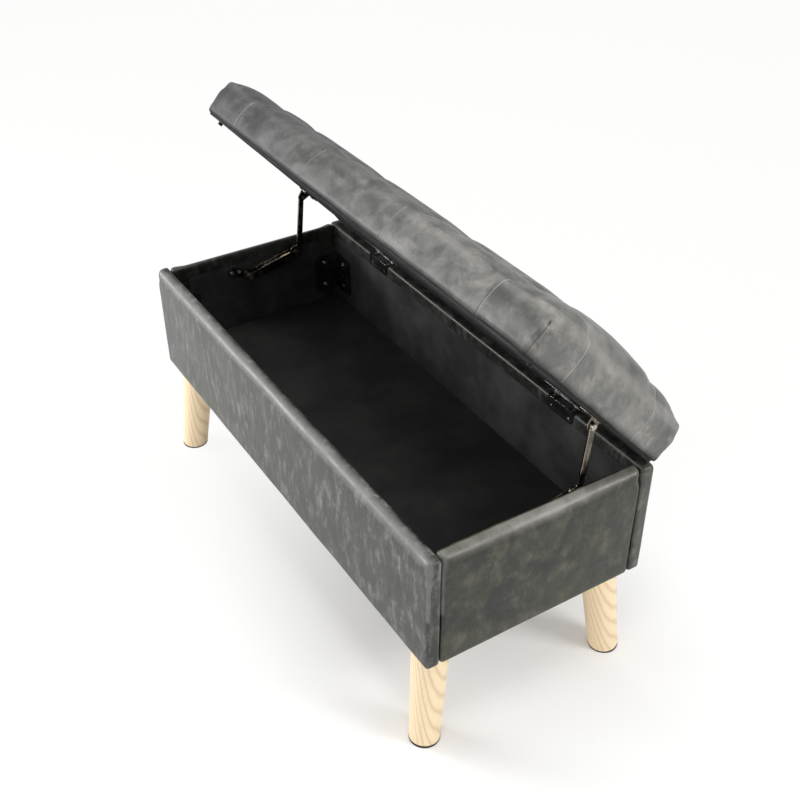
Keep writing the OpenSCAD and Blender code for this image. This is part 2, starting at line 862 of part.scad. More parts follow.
// The lid bracket: a plate under the lid with an ear beside the arm's tip.
module stay_lid_bracket(s) {
  x1 = stay_x - arm_t / 2 - ear_gap;
  x0 = x1 - bracket_plate[0];
  y = tip_closed[0];
  l = bracket_plate[1] / 2;
  color("#2a2622") side(s) on_lid() difference() {
    union() {
      span([x0, y - l, lid_z - ear_t], [x1, y + l, lid_z]);
      plate_yz(x1 - ear_t, ear_t) hull() {
        translate([y, lid_z - stay_drop]) circle(ear_r, $fn = 32);
        translate([y - ear_foot, lid_z - ear_t]) square([2 * ear_foot, ear_t]);
      }
    }
    translate([0, y, lid_z - stay_drop]) rod_x(x0 - 1, x1 + 1, rivet_r);
    stay_bracket_screws_one(run_clear);
  }
}

module stay_bracket_screws_one(grow = 0) {
  x = stay_x - arm_t / 2 - ear_gap - bracket_screws_at[0];
  for (e = [-1, 1])
    translate([x, tip_closed[0] + e * bracket_screws_at[1], lid_z - ear_t]) rotate([180, 0, 0])
      round_screw(wood_screw, grow);
}

module stay_bracket_driven(grow = 0) {
  for (s = [-1, 1]) side(s) stay_bracket_screws_one(grow);
}

module stay_bracket_screws() {
  color("#5a544c") on_lid() stay_bracket_driven();
}

// Lid, drawn closed.

// A flat slab with rounded plan corners.
module lid_slab(inset, z0, z1, r) {
  x = lid_l / 2 - inset;
  translate([0, lid_y, z0]) linear_extrude(z1 - z0) union() {
    square([2 * x, lid_w - 2 * inset - 2 * r], center = true);
    square([2 * x - 2 * r, lid_w - 2 * inset], center = true);
    for (sx = [-1, 1], sy = [-1, 1])
      translate([sx * (x - r), sy * (lid_w / 2 - inset - r)]) circle(r);
  }
}

// The board under the cushion.
module lid_board() {
  color("tan") on_lid() difference() {
    lid_slab(lid_edge, board_z, board_z + lid_board_t, board_r);
    hinge_lid_driven(run_clear);
    stay_bracket_driven(run_clear);
  }
}

// The thin base covered in black cloth that closes the lid from below.
module lid_base() {
  color("#1b1b1c") on_lid() difference() {
    lid_slab(base_edge, lid_z, board_z, base_r);
    hinge_lid_driven(run_clear);
    stay_bracket_driven(run_clear);
  }
}

// Rubber bumpers that rest on the end panels, near the front, when the lid is closed.
module lid_bumpers() {
  color("#222222") on_lid() for (s = [-1, 1]) side(s)
    translate([turn_x + panel_t / 2, bumper_in - half_w, top_z + bumper_clear])
      cylinder(h = lid_gap - bumper_clear, r = bumper_r);
}

// Grid lines: each span between seams is cut into cells, closer to the seams.
function spread(lines, n) = [for (i = [0:len(lines) - 2], k = [0:n - 1])
  lines[i] + (lines[i + 1] - lines[i]) * (1 - cos(180 * k / n)) / 2];

// How much the cover puffs out between seams: 0 on a seam, 1 between them.
function puff(v, lines) = let (
  i = max([for (k = [0:len(lines) - 2]) v >= lines[k] - 0.001 ? k : 0]),
  f = (v - lines[i]) / (lines[i + 1] - lines[i]))
  i == 0 ? pow(sin(90 * max(0, 1 - f)), 0.6) : i == len(lines) - 2 ? pow(sin(90 * min(1, f)), 0.6)
    : pow(sin(180 * max(0, min(1, f))), 0.6);

// The crown's height at a point of the top, above the base.
function crown(x, y) = let (
  u = abs(2 * x / lid_l), v = abs(2 * y / lid_w), seams = min(puff(x, cush_x), puff(y, cush_y)))
  cushion_side + cushion_crown * (1 - v ^ 2.4) * (1 - u ^ 12)
  + channel_depth * (seams - 1) * (1 - 0.5 * max(u ^ 8, v ^ 8)) + 2;

// A point of a rounded outline, pulled in by an inset.
function outline(x, y, inset) = let (
  hx = lid_l / 2, hy = lid_w / 2,
  c = [max(plan_r - hx, min(hx - plan_r, x)), max(plan_r - hy, min(hy - plan_r, y))],
  d = [x, y] - c, n = norm(d))
  n == 0 ? [x, y] : c + d / n * (plan_r - inset);

// The edge leans in more at the back, and seams run down the sides as well.
function lean(y) = 1 + roll_lean * pow(abs(2 * y / lid_w), 3) * sign(y);
function side_puff(p) = abs(p[1]) > lid_w / 2 - 0.01 ? puff(p[0], cush_x) : puff(p[1], cush_y);

// The cushion's surface: side rings from the bottom up, then the crown.
module cushion_shape() {
  m = len(border);
  rings = len(side_rings);
  shrink = [1 - 2 * roll_in / lid_l, 1 - 2 * roll_in / lid_w];
  side_points = [for (s = side_rings, p = border) let (
    draw = seam_draw * (1 - side_puff(p)) * sin(180 * s[1]),
    q = outline(p[0], p[1], s[0] * lean(p[1]) + draw))
    [q[0], q[1], s[1] * cushion_side]];
  top_points = [for (y = grid_y, x = grid_x)
    [x * shrink[0], y * shrink[1] - roll_in * roll_lean * pow(2 * y / lid_w, 4), crown(x, y)]];
  base = rings * m;
  function top(i, j) = base + j * (nx + 1) + i;
  edge = concat(
    [for (i = [0:nx - 1]) top(i, 0)], [for (j = [0:ny - 1]) top(nx, j)],
    [for (i = [nx:-1:1]) top(i, ny)], [for (j = [ny:-1:1]) top(0, j)]
  );
  points = concat(side_points, top_points, [[0, 0, 0]]);
  centre = len(points) - 1;
  walls = [for (r = [0:rings - 2], k = [0:m - 1]) let (a = r * m + k, b = r * m + (k + 1) % m)
    each [[a, a + m, b + m], [a, b + m, b]]];
  shoulder = [for (k = [0:m - 1]) let (
    a = (rings - 1) * m + k, b = (rings - 1) * m + (k + 1) % m, c = edge[k], d = edge[(k + 1) % m])
    each [[a, c, d], [a, d, b]]];
  roof = [for (j = [0:ny - 1], i = [0:nx - 1])
    each [[top(i, j), top(i, j + 1), top(i + 1, j + 1)], [top(i, j), top(i + 1, j + 1), top(i + 1, j)]]];
  floor = [for (k = [0:m - 1]) [k, (k + 1) % m, centre]];
  polyhedron(points = points, faces = concat(walls, shoulder, roof, floor), convexity = 4);
}

// The quilted cushion: leather over foam, wrapped down over the lid's board.
module lid_cushion() {
  color("#75766f") on_lid() difference() {
    translate([0, lid_y, board_z]) cushion_shape();
    lid_slab(lid_edge, board_z - 1, board_z + lid_board_t, board_r);
    hinge_lid_driven(run_clear);
    stay_bracket_driven(run_clear);
  }
}

long_board(-1);  // front_board
long_board(1);  // back_board
end_board(-1);  // left_board
end_board(1);  // right_board
long_cover(-1);  // front_cover
long_cover(1);  // back_cover
end_cover(-1);  // left_cover
end_cover(1);  // right_cover
long_lining(-1);  // front_lining
long_lining(1);  // back_lining
end_lining(-1);  // left_lining
end_lining(1);  // right_lining
bottom_board();
bottom_cleats();
corner_blocks();
corner_bracket(-1, -1);  // front_left_bracket
corner_bracket(1, -1);  // front_right_bracket
corner_bracket(-1, 1);  // back_left_bracket
corner_bracket(1, 1);  // back_right_bracket
bracket_screws();
leg(-1, -1);  // front_left_leg
leg(1, -1);  // front_right_leg
leg(-1, 1);  // back_left_leg
leg(1, 1);  // back_right_leg
leg_bolts();
foot_glides();
hinge_body_leaf(-1);  // left_hinge_body_leaf
hinge_body_leaf(1);  // right_hinge_body_leaf
hinge_lid_leaf(-1);  // left_hinge_lid_leaf
hinge_lid_leaf(1);  // right_hinge_lid_leaf
hinge_pins();
hinge_body_screws();
hinge_lid_screws();
lid_cushion();
lid_board();
lid_base();
lid_bumpers();
stay_plate(-1);  // left_stay_plate
stay_pivot_rivet(-1);  // left_stay_pivot_rivet
stay_channel(-1);  // left_stay_channel
stay_spring(-1);  // left_stay_spring
stay_plunger(-1);  // left_stay_plunger
stay_arm(-1);  // left_stay_arm
stay_elbow_rivet(-1);  // left_stay_elbow_rivet
stay_tip_rivet(-1);  // left_stay_tip_rivet
stay_lid_bracket(-1);  // left_stay_lid_bracket
stay_plate(1);  // right_stay_plate
stay_pivot_rivet(1);  // right_stay_pivot_rivet
stay_channel(1);  // right_stay_channel
stay_spring(1);  // right_stay_spring
stay_plunger(1);  // right_stay_plunger
stay_arm(1);  // right_stay_arm
stay_elbow_rivet(1);  // right_stay_elbow_rivet
stay_tip_rivet(1);  // right_stay_tip_rivet
stay_lid_bracket(1);  // right_stay_lid_bracket
stay_plate_screws();
stay_bracket_screws();
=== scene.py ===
# %% [markdown]
# # A storage ottoman
# This is a long padded box on four wooden legs. Its quilted lid is hinged at the
# back and held open by two spring stays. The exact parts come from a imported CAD
# model, which is the frame of the scene: metal, wood and boards keep their CAD
# shape and get a finish here. What is soft, such as leather over foam, is built
# again in Blender, because that is where folds, seams and swelling can be shaped.

# %% The frame
import json
import math

import bmesh
import bpy
import numpy as np
from mathutils import Matrix, Vector

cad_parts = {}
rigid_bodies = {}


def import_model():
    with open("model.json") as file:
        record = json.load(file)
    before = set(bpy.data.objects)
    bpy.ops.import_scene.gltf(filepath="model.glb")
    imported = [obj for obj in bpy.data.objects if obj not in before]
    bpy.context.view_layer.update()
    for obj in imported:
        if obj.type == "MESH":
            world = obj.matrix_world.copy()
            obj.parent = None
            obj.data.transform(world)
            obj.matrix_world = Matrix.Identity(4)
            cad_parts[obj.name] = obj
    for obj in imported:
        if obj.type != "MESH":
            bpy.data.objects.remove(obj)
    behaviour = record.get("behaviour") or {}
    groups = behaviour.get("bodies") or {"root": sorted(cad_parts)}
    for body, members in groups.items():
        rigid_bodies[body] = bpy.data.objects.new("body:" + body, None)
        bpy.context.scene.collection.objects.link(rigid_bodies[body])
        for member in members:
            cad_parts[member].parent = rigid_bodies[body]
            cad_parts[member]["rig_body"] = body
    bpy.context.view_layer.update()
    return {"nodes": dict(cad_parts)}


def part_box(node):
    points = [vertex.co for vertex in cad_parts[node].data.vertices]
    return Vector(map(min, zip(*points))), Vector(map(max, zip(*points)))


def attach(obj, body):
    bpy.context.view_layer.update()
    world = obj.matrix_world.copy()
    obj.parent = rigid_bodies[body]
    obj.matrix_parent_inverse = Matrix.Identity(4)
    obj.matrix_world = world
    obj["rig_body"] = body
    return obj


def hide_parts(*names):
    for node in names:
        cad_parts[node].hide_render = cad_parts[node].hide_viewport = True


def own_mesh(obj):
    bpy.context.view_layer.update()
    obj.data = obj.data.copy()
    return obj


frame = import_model()


# %% [markdown]
# ## The camera
# The picture was taken from above the right front corner. A camera that was fitted
# to the straight edges of the box gives the place and the lens below. It comes
# first, because every later step is judged through it.

# %% Camera
CAMERA_PLACE = (1.2941, -0.7587, 1.3737)
CAMERA_TURN = (54.148, 0.081, 57.991)
LENS, SENSOR, FARTHEST = 50.43, 36.0, 60.0


def put_in_scene(name, data):
    """A new object in the scene."""
    made = bpy.data.objects.new(name, data)
    bpy.context.scene.collection.objects.link(made)
    return made


camera_data = bpy.data.cameras.new("camera")
camera_data.lens, camera_data.sensor_width, camera_data.clip_end = LENS, SENSOR, FARTHEST
camera = put_in_scene("camera", camera_data)
camera.location = CAMERA_PLACE
camera.rotation_euler = [math.radians(a) for a in CAMERA_TURN]
bpy.context.scene.camera = camera
print("camera looks along", [round(v, 3) for v in camera.rotation_euler.to_matrix() @ Vector((0, 0, -1))])


# %% [markdown]
# ## Small tools for materials
# A material is a network of nodes. Writing each one by hand is long, so short
# helpers add a node, join sockets and work out sums. Wherever a helper takes a
# value, it takes another node's socket as well.

# %% Node helpers
def feed(tree, socket, value):
    """Gives a socket a value, or joins another socket to it."""
    if isinstance(value, bpy.types.NodeSocket):
        tree.links.new(value, socket)
    elif socket.type == "RGBA" and len(value) == 3:
        socket.default_value = (*value, 1.0)
    else:
        socket.default_value = value


def add(tree, kind, label="", **values):
    """One node of a tree. Its inputs and its settings are given by name."""
    node = tree.nodes.new("ShaderNode" + kind)
    node.label = label
    for name, value in values.items():
        if name.replace("_", " ") in node.inputs:
            feed(tree, node.inputs[name.replace("_", " ")], value)
        else:
            setattr(node, name, value)
    return node


def here(tree):
    """The shaded point, in the object's own metres."""
    return add(tree, "TexCoord").outputs["Object"]


def noise(tree, label, where, **values):
    """Noise at a place, from 0 to 1."""
    return add(tree, "TexNoise", label, Vector=where, **values).outputs["Fac"]


def stored(tree, name):
    """A number that is kept on the mesh."""
    return add(tree, "Attribute", attribute_name=name).outputs["Fac"]


def blend(tree, low, high, amount, mode="MIX"):
    """A mix of two colours."""
    mix = add(tree, "Mix", data_type="RGBA", blend_type=mode)
    for number, value in ((6, low), (7, high), (0, amount)):
        feed(tree, mix.inputs[number], value)
    return mix.outputs[2]


def tinted(tree, colour, tone):
    """A colour multiplied by another one."""
    return blend(tree, colour, tone, 1.0, "MULTIPLY")


def ramp(tree, source, low, high):
    """Spreads a value between low and high smoothly over 0 to 1."""
    node = add(tree, "MapRange", interpolation_type="SMOOTHSTEP")
    for name, value in (("From Min", low), ("From Max", high), ("Value", source)):
        feed(tree, node.inputs[name], value)
    return node.outputs["Result"]


def calculate(tree, operation, a, b=0.0, clamp=False):
    """A calculation with two numbers."""
    node = add(tree, "Math", operation=operation, use_clamp=clamp)
    for socket, value in zip(node.inputs, (a, b)):
        feed(tree, socket, value)
    return node.outputs[0]


def times(tree, a, b, clamp=False):
    """The product of two numbers."""
    return calculate(tree, "MULTIPLY", a, b, clamp)


def plus(tree, a, b, clamp=False):
    """The sum of two numbers."""
    return calculate(tree, "ADD", a, b, clamp)


print("node helpers ready")


# %% [markdown]
# What several materials share is kept as a node group, whose inputs and outputs
# have names. The shader itself stays in each material, where its settings can be
# seen.

# %% Groups and materials
def group(name, inputs, outputs):
    """A node group with named sockets: its tree, its inputs and its outputs."""
    tree = bpy.data.node_groups.new(name, "ShaderNodeTree")
    for label, kind, value in inputs:
        socket = tree.interface.new_socket(label, in_out="INPUT", socket_type="NodeSocket" + kind)
        if value is not None:
            socket.default_value = value
    for label, kind in outputs:
        tree.interface.new_socket(label, in_out="OUTPUT", socket_type="NodeSocket" + kind)
    return tree, tree.nodes.new("NodeGroupInput").outputs, tree.nodes.new("NodeGroupOutput").inputs


def place(tree, name, **values):
    """The outputs of a group that is used in a material with its own values."""
    node = add(tree, "Group")
    node.node_tree = bpy.data.node_groups[name]
    for label, value in values.items():
        feed(tree, node.inputs[label], value)
    return node.outputs


def material(name, roughness=0.5, metallic=0.0, **values):
    """A new material: the material, its tree and its Principled shader."""
    made = bpy.data.materials.new(name)
    made.use_nodes = True
    shader = made.node_tree.nodes["Principled BSDF"]
    for label, value in {"Roughness": roughness, "Metallic": metallic, **values}.items():
        shader.inputs[label.replace("_", " ")].default_value = value
    return made, made.node_tree, shader


def relief(tree, shader, height, strength, depth):
    """Feeds a height into the shader's normal."""
    bump = add(tree, "Bump", Strength=strength, Distance=depth, Height=height)
    feed(tree, shader.inputs["Normal"], bump.outputs["Normal"])


def wear(piece, made):
    """Gives a piece one material."""
    piece.data.materials.clear()
    piece.data.materials.append(made)


print("material helpers ready")


# %% [markdown]
# ## Waxed leather
# The leather was dyed, rubbed with wax and brushed, so it is cloudy: dark olive
# grey where the wax lies, pale where it was brushed off. Two clouds of noise, a
# broad one and a streaky one, mix three tones. A fine cell pattern is the grain,
# and long thin noise is the light scratches. All leather here shares this group.

# %% Leather group
def make_leather_group():
    """Clouds of wax, brush marks, scratches and grain, in three tones."""
    tree, take, give = group(
        "waxed leather",
        [("Vector", "Vector", None), ("Clouds", "Vector", None), ("Streaks", "Vector", None),
         ("Dark", "Color", (0.05, 0.055, 0.05, 1)), ("Middle", "Color", (0.12, 0.125, 0.115, 1)),
         ("Pale", "Color", (0.26, 0.26, 0.24, 1)), ("Brushing", "Float", 0.5), ("Wear", "Float", 0.0)],
        [("Color", "Color"), ("Roughness", "Float"), ("Height", "Float")],
    )
    clouds, streaks = take["Clouds"], take["Streaks"]
    broad = noise(tree, "broad clouds", clouds, Scale=9.0, Detail=3.0, Roughness=0.6)
    cloud = noise(tree, "wax clouds", clouds, Scale=38.0, Detail=7.0, Roughness=0.68, Distortion=0.3)
    brush = noise(tree, "brush marks", streaks, Scale=42.0, Detail=6.0, Roughness=0.68, Distortion=0.25)
    scratch = noise(tree, "thin scratches", streaks, Scale=190.0, Detail=3.0, Roughness=0.6, Distortion=1.4)
    fleck = noise(tree, "small flecks", take["Vector"], Scale=260.0, Detail=4.0, Roughness=0.7)
    grain = add(tree, "TexVoronoi", "grain", Vector=take["Vector"], Scale=850.0)

    def share(source, low, high, part):
        """A ramped noise that counts for a part."""
        return times(tree, ramp(tree, source, low, high), part)

    depth = plus(tree, share(broad, 0.38, 0.62, 0.4), share(cloud, 0.4, 0.6, 0.6))
    base = blend(tree, take["Dark"], take["Middle"], depth)
    marks = plus(tree, share(brush, 0.44, 0.72, 0.9), share(scratch, 0.52, 0.72, 0.3))
    marks = times(tree, marks, plus(tree, share(fleck, 0.35, 0.65, 0.25), 0.75))
    marks = times(tree, marks, plus(tree, share(cloud, 0.42, 0.58, 0.8), 0.35))
    marks = times(tree, marks, take["Brushing"])
    # Rolled edges are painted paler here: partly wear, partly a painted highlight.
    marks = plus(tree, marks, times(tree, take["Wear"], 0.45), clamp=True)
    feed(tree, give["Color"], blend(tree, base, take["Pale"], marks))
    rough = plus(tree, plus(tree, times(tree, depth, 0.14), 0.32), times(tree, marks, 0.12))
    polish = times(tree, take["Wear"], 0.05)
    feed(tree, give["Roughness"], calculate(tree, "SUBTRACT", rough, polish))
    feed(tree, give["Height"], plus(tree, times(tree, grain.outputs["Distance"], 0.4), times(tree, fleck, 0.6)))
    return tree


print("waxed leather group has", len(make_leather_group().nodes), "nodes")


# %% [markdown]
# Some numbers are stored on the mesh itself and read by its material. One is high
# on a rolled edge, where the leather is painted paler: partly wear, partly a
# painted highlight. Three are distances in metres: to the nearest seam, to a
# corner's crease, and up from the cushion's foot. The last two carry painted shade
# in the creases and along the foot. A distance keeps a thin line sharp even where
# the mesh is coarse.

# %% Marks on leather
# Where the leather with painted shade is lit again, at the box's ends.
LIT_END_SPAN = (0.434, 0.446)
# The span and the tones of the painted shade that darkens the lid towards its far end.
LID_SHADE_SPAN = (-0.36, 0.45)
NEAR_LIT_TONE = (1.14, 1.12, 1.08)
# Painted shade: the dark tones at the cushion's foot and in its creases, and the widths of these lines.
FOOT_SHADE_TONE, CREASE_SHADE_TONE, WHITE = (0.25, 0.25, 0.26), (0.02, 0.02, 0.02), (1.0, 1.0, 1.0)
SEAM_LINE, SEAM_VALLEY, CREASE_SHADE_WIDTH, FOOT_SHADE_SPAN = (0.0004, 0.0016), 0.0035, 0.001, (0.001, 0.016)


def paled_by_wear_and_sheen(tree, colour, streaks, worn_and_sheen, tone):
    """Leather made pale on its rolled edges, unevenly: partly rubbed wear, partly a painted highlight."""
    uneven = noise(tree, "uneven rubbing", streaks, Scale=24.0, Detail=5.0, Roughness=0.65)
    part = plus(tree, times(tree, ramp(tree, uneven, 0.35, 0.65), 0.4), 0.4)
    return blend(tree, colour, tone, times(tree, worn_and_sheen, part, clamp=True))


def painted_light_along(tree, colour, where, low, high, span, mirrored=False):
    """A colour with painted light and shade: tinted by low and high at the two ends of a span along X."""
    x = add(tree, "SeparateXYZ", Vector=where).outputs["X"]
    x = calculate(tree, "ABSOLUTE", x) if mirrored else x
    return tinted(tree, colour, blend(tree, low, high, ramp(tree, x, *span)))


def seams_and_painted_shade(tree, colour, rough, height, thread):
    """Seams, painted shade in the corner creases, and painted shade along the cushion's foot."""
    seam, crease_shade = stored(tree, "seam"), stored(tree, "crease_shade")
    line = calculate(tree, "SUBTRACT", 1.0, ramp(tree, seam, *SEAM_LINE))
    colour = blend(tree, colour, thread, times(tree, line, 0.6))
    # Painted shade along the corner creases.
    painted_crease_shade = calculate(tree, "SUBTRACT", 1.0, ramp(tree, crease_shade, 0.0, CREASE_SHADE_WIDTH))
    colour = blend(tree, colour, CREASE_SHADE_TONE, times(tree, painted_crease_shade, 0.8))
    # Painted shade along the cushion's foot, fading upwards.
    lifted = ramp(tree, stored(tree, "low"), *FOOT_SHADE_SPAN)
    colour = tinted(tree, colour, blend(tree, FOOT_SHADE_TONE, WHITE, lifted))
    matt = times(tree, calculate(tree, "SUBTRACT", 1.0, lifted), 0.9)
    height = plus(tree, times(tree, height, 0.12), ramp(tree, seam, 0.0, SEAM_VALLEY))
    return colour, calculate(tree, "MAXIMUM", rough, matt), height


print("seam line", SEAM_LINE[1] * 1000, "mm, dark foot", FOOT_SHADE_SPAN[1] * 1000, "mm")


# %% [markdown]
# A leather material gives the group its own tones and the slant of its brush
# marks. The front and the back are brushed across, the ends more upright. The back
# and the left end wear a darker copy, which is painted shade for the inside of the
# box and is lighter again at the box's ends. The lid's leather is smoother, with
# painted shade that makes it darker and cooler at its far end.

# %% Leather materials
def leather(name, dark, middle, pale, brushing, slant, stretch, cloud_size,
            rub_and_sheen_tone=None, seam_tone=None, far_shade_tone=None, lit_end_gain=None):
    """Waxed leather. Slant and stretch shape its brush marks, and the rest is for some pieces only."""
    made, tree, shader = material(name, Specular_IOR_Level=0.42)
    where, worn_and_sheen = here(tree), stored(tree, "worn_and_sheen")
    turn = [math.radians(a) for a in slant]
    streaks = add(tree, "Mapping", "brush marks", Vector=where, Rotation=turn, Scale=stretch).outputs["Vector"]
    clouds = add(tree, "Mapping", "clouds", Vector=where, Scale=[1 / cloud_size] * 3).outputs["Vector"]
    hide = place(tree, "waxed leather", Vector=where, Clouds=clouds, Streaks=streaks,
                 Dark=dark, Middle=middle, Pale=pale, Brushing=brushing, Wear=worn_and_sheen)
    colour, rough, height = hide["Color"], hide["Roughness"], hide["Height"]
    # Paler rolled edges: partly rubbed wear, partly a painted highlight.
    if rub_and_sheen_tone:
        colour = paled_by_wear_and_sheen(tree, colour, streaks, worn_and_sheen, rub_and_sheen_tone)
    # Painted light: the shaded leather is lighter again at the box's ends.
    if lit_end_gain:
        colour = painted_light_along(tree, colour, where, WHITE, lit_end_gain, LIT_END_SPAN, mirrored=True)
    # Painted shade: darker and cooler towards the lid's far end, brighter near, where more light falls.
    if far_shade_tone:
        colour = painted_light_along(tree, colour, where, far_shade_tone, NEAR_LIT_TONE, LID_SHADE_SPAN)
    if seam_tone:
        colour, rough, height = seams_and_painted_shade(tree, colour, rough, height, seam_tone)
    feed(tree, shader.inputs["Base Color"], colour)
    feed(tree, shader.inputs["Roughness"], rough)
    relief(tree, shader, height, 0.5 if seam_tone else 0.22, 0.002 if seam_tone else 0.0006)
    return made


ACROSS = {"slant": (0, 20, 0), "stretch": (1.9, 1.9, 0.6)}
panel_leather = leather("panel_leather", (0.009, 0.011, 0.0085), (0.043, 0.047, 0.039), (0.215, 0.215, 0.198),
                        1.0, cloud_size=1.4, rub_and_sheen_tone=(0.16, 0.157, 0.16), **ACROSS)
end_leather = leather("end_leather", (0.0015, 0.002, 0.0005), (0.038, 0.0395, 0.0225), (0.115, 0.11, 0.08),
                      0.75, (18, 0, 0), (1.0, 1.0, 0.6), 1.7, rub_and_sheen_tone=(0.36, 0.345, 0.32))
# A darker copy of the panel leather: painted shade for the inside of the box.
painted_shade_leather = leather("painted_shade_leather", (0.009, 0.01, 0.0085), (0.034, 0.036, 0.031), (0.14, 0.14, 0.13),
                       0.6, cloud_size=1.3, rub_and_sheen_tone=(0.12, 0.12, 0.125), lit_end_gain=(2.0, 2.0, 1.8), **ACROSS)
lid_leather = leather("lid_leather", (0.06, 0.062, 0.06), (0.165, 0.165, 0.159), (0.33, 0.325, 0.31),
                      0.5, (35, 0, 20), (0.6, 0.9, 0.7), 1.9,
                      seam_tone=(0.42, 0.41, 0.39), far_shade_tone=(0.5, 0.505, 0.52))
print("leathers:", [m.name for m in (panel_leather, end_leather, painted_shade_leather, lid_leather)])


# %% [markdown]
# ## Skins of soft blocks
# Every padded panel starts as the skin of a block, cut into small squares that
# are closer together near its edges. The points then slide onto a rounded shape
# that is described by a distance: how far a point lies outside it. This keeps an
# even mesh that can swell and crease, which a bevelled cube would not.

# %% Block skins
def cuts(low, high, step, edge):
    """Cutting places between two ends, closer together within edge of them."""
    near = edge * np.array([0.0, 0.12, 0.3, 0.5, 0.72, 1.0])
    inner = np.linspace(low + edge, high - edge, max(2, int(round((high - low - 2 * edge) / step)) + 1))
    return np.concatenate([low + near[:-1], inner, (high - near[:-1])[::-1]])


def block_skin(xs, ys, zs):
    """The outer skin of a block that is cut along these planes: points and faces."""
    ids, points, faces = {}, [], []
    nx, ny, nz = len(xs) - 1, len(ys) - 1, len(zs) - 1

    def at(i, j, k):
        if (i, j, k) not in ids:
            ids[i, j, k] = len(points)
            points.append((xs[i], ys[j], zs[k]))
        return ids[i, j, k]

    for i in range(nx):
        for j in range(ny):
            faces.append((at(i, j, 0), at(i, j + 1, 0), at(i + 1, j + 1, 0), at(i + 1, j, 0)))
            faces.append((at(i, j, nz), at(i + 1, j, nz), at(i + 1, j + 1, nz), at(i, j + 1, nz)))
    for i in range(nx):
        for k in range(nz):
            faces.append((at(i, 0, k), at(i + 1, 0, k), at(i + 1, 0, k + 1), at(i, 0, k + 1)))
            faces.append((at(i, ny, k), at(i, ny, k + 1), at(i + 1, ny, k + 1), at(i + 1, ny, k)))
    for j in range(ny):
        for k in range(nz):
            faces.append((at(0, j, k), at(0, j, k + 1), at(0, j + 1, k + 1), at(0, j + 1, k)))
            faces.append((at(nx, j, k), at(nx, j + 1, k), at(nx, j + 1, k + 1), at(nx, j, k + 1)))
    return np.array(points), faces


print("the skin of a cube cut in two each way has", len(block_skin(*[(0, 1, 2)] * 3)[1]), "faces")


# %% [markdown]
# Every new piece rides on a body of the frame, so the lid's pieces turn with the
# lid. The other helpers read and change a mesh's points, and keep numbers on them
# for the materials.

# %% Pieces and their points
def make_piece(name, points, faces, body, slot, smooth=True):
    """A mesh object that rides on a body of the frame."""
    mesh = bpy.data.meshes.new(name)
    mesh.from_pydata([tuple(map(float, p)) for p in points], [], faces)
    mesh.update()
    if smooth:
        mesh.shade_smooth()
    piece = put_in_scene(name, mesh)
    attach(piece, body)
    return piece


def apply_changes(piece):
    """Puts what a piece's modifiers do into its mesh."""
    changed = piece.evaluated_get(bpy.context.evaluated_depsgraph_get())
    mesh = bpy.data.meshes.new_from_object(changed)
    piece.modifiers.clear()
    piece.data = mesh
    mesh.shade_smooth()
    return mesh


def coordinates(mesh):
    """The points of a mesh as an array."""
    found = np.zeros(len(mesh.vertices) * 3, np.float32)
    mesh.vertices.foreach_get("co", found)
    return found.reshape(-1, 3).astype(float)


def move_points(piece, points):
    """Gives the points of a mesh new places."""
    piece.data.vertices.foreach_set("co", points.astype(np.float32).ravel())
    piece.data.update()


def store(piece, name, values):
    """Keeps one number for each point of a mesh, for its material to read."""
    layer = piece.data.attributes.new(name, "FLOAT", "POINT")
    layer.data.foreach_set("value", np.asarray(values, np.float32))


# %% [markdown]
# Two small functions shape almost everything soft here. One goes softly from 0 to
# 1. The other is an uneven ripple, since nothing padded by hand is quite even.

# %% Soft steps and ripples
def ease(t):
    """A soft step from 0 to 1."""
    t = np.clip(t, 0.0, 1.0)
    return t * t * (3 - 2 * t)


def waves(points, size, seed):
    """Smooth uneven values from -1 to 1 over points: a few crossed sine waves."""
    rng = np.random.default_rng(seed)
    total = np.zeros(len(points))
    for _ in range(9):
        way = rng.normal(size=3)
        way /= np.linalg.norm(way)
        total += np.sin(points @ way * 2 * math.pi / (size * rng.uniform(0.6, 1.8)) + rng.uniform(0, 6.3))
    return total / 4.5


print("a soft step:", [round(float(ease(t)), 2) for t in (0, 0.25, 0.5, 0.75, 1)])


# %% [markdown]
# ## The four panels
# Each panel is a board with thin padding, wrapped in leather. The leather rolls
# over the top edge and is turned down on the inside, where its cut edge shows
# above the black lining. The broad face swells a little between its edges. The
# skin is built once, standing along X, and then placed on each side.

# %% Panel's rounded shape
SMALL_ROLL = 0.0055  # radius of the leather's bend round an edge
TOP_CORNER, LOW_CORNER = 0.008, 0.007  # radii of the panel's outline
INNER_SIDE = -0.006  # the wide roll ends this far behind the board's middle
ROLL_HEIGHT, ROLL_RISE = 0.032, 0.014  # where the wide roll starts below the top, and how soon it is full
LINING_STEP = 0.0023  # how far the bare inside stands behind the turned-in leather


def panel_distance(p, size, outer):
    """How far points lie outside a padded panel, and the angle round its outer edge in degrees."""
    length, thick, high = size
    x, y, z = abs(p[:, 0]), p[:, 1], p[:, 2]
    low = z < high / 2
    r = np.where(low, LOW_CORNER, TOP_CORNER)
    qx = x - length / 2 + r
    qz = np.where(low, r - z, z - high + r)
    outline = np.hypot(np.maximum(qx, 0), np.maximum(qz, 0)) + np.minimum(np.maximum(qx, qz), 0) - r
    top = ease((z - high + ROLL_HEIGHT) / ROLL_RISE)
    end = ease((x - length / 2 + 0.03) / 0.022)
    out = y > INNER_SIDE
    e = np.where(out, SMALL_ROLL + top * (outer - SMALL_ROLL) * (1 - 0.5 * end), SMALL_ROLL)
    a, b = outline + e, np.where(out, y, -y) - thick / 2 + e
    far = np.hypot(np.maximum(a, 0), np.maximum(b, 0)) + np.minimum(np.maximum(a, b), 0) - e
    angle = np.degrees(np.arctan2(np.maximum(a, 0), np.maximum(b, 1e-9))) * (out & (z > high / 2))
    return far, angle


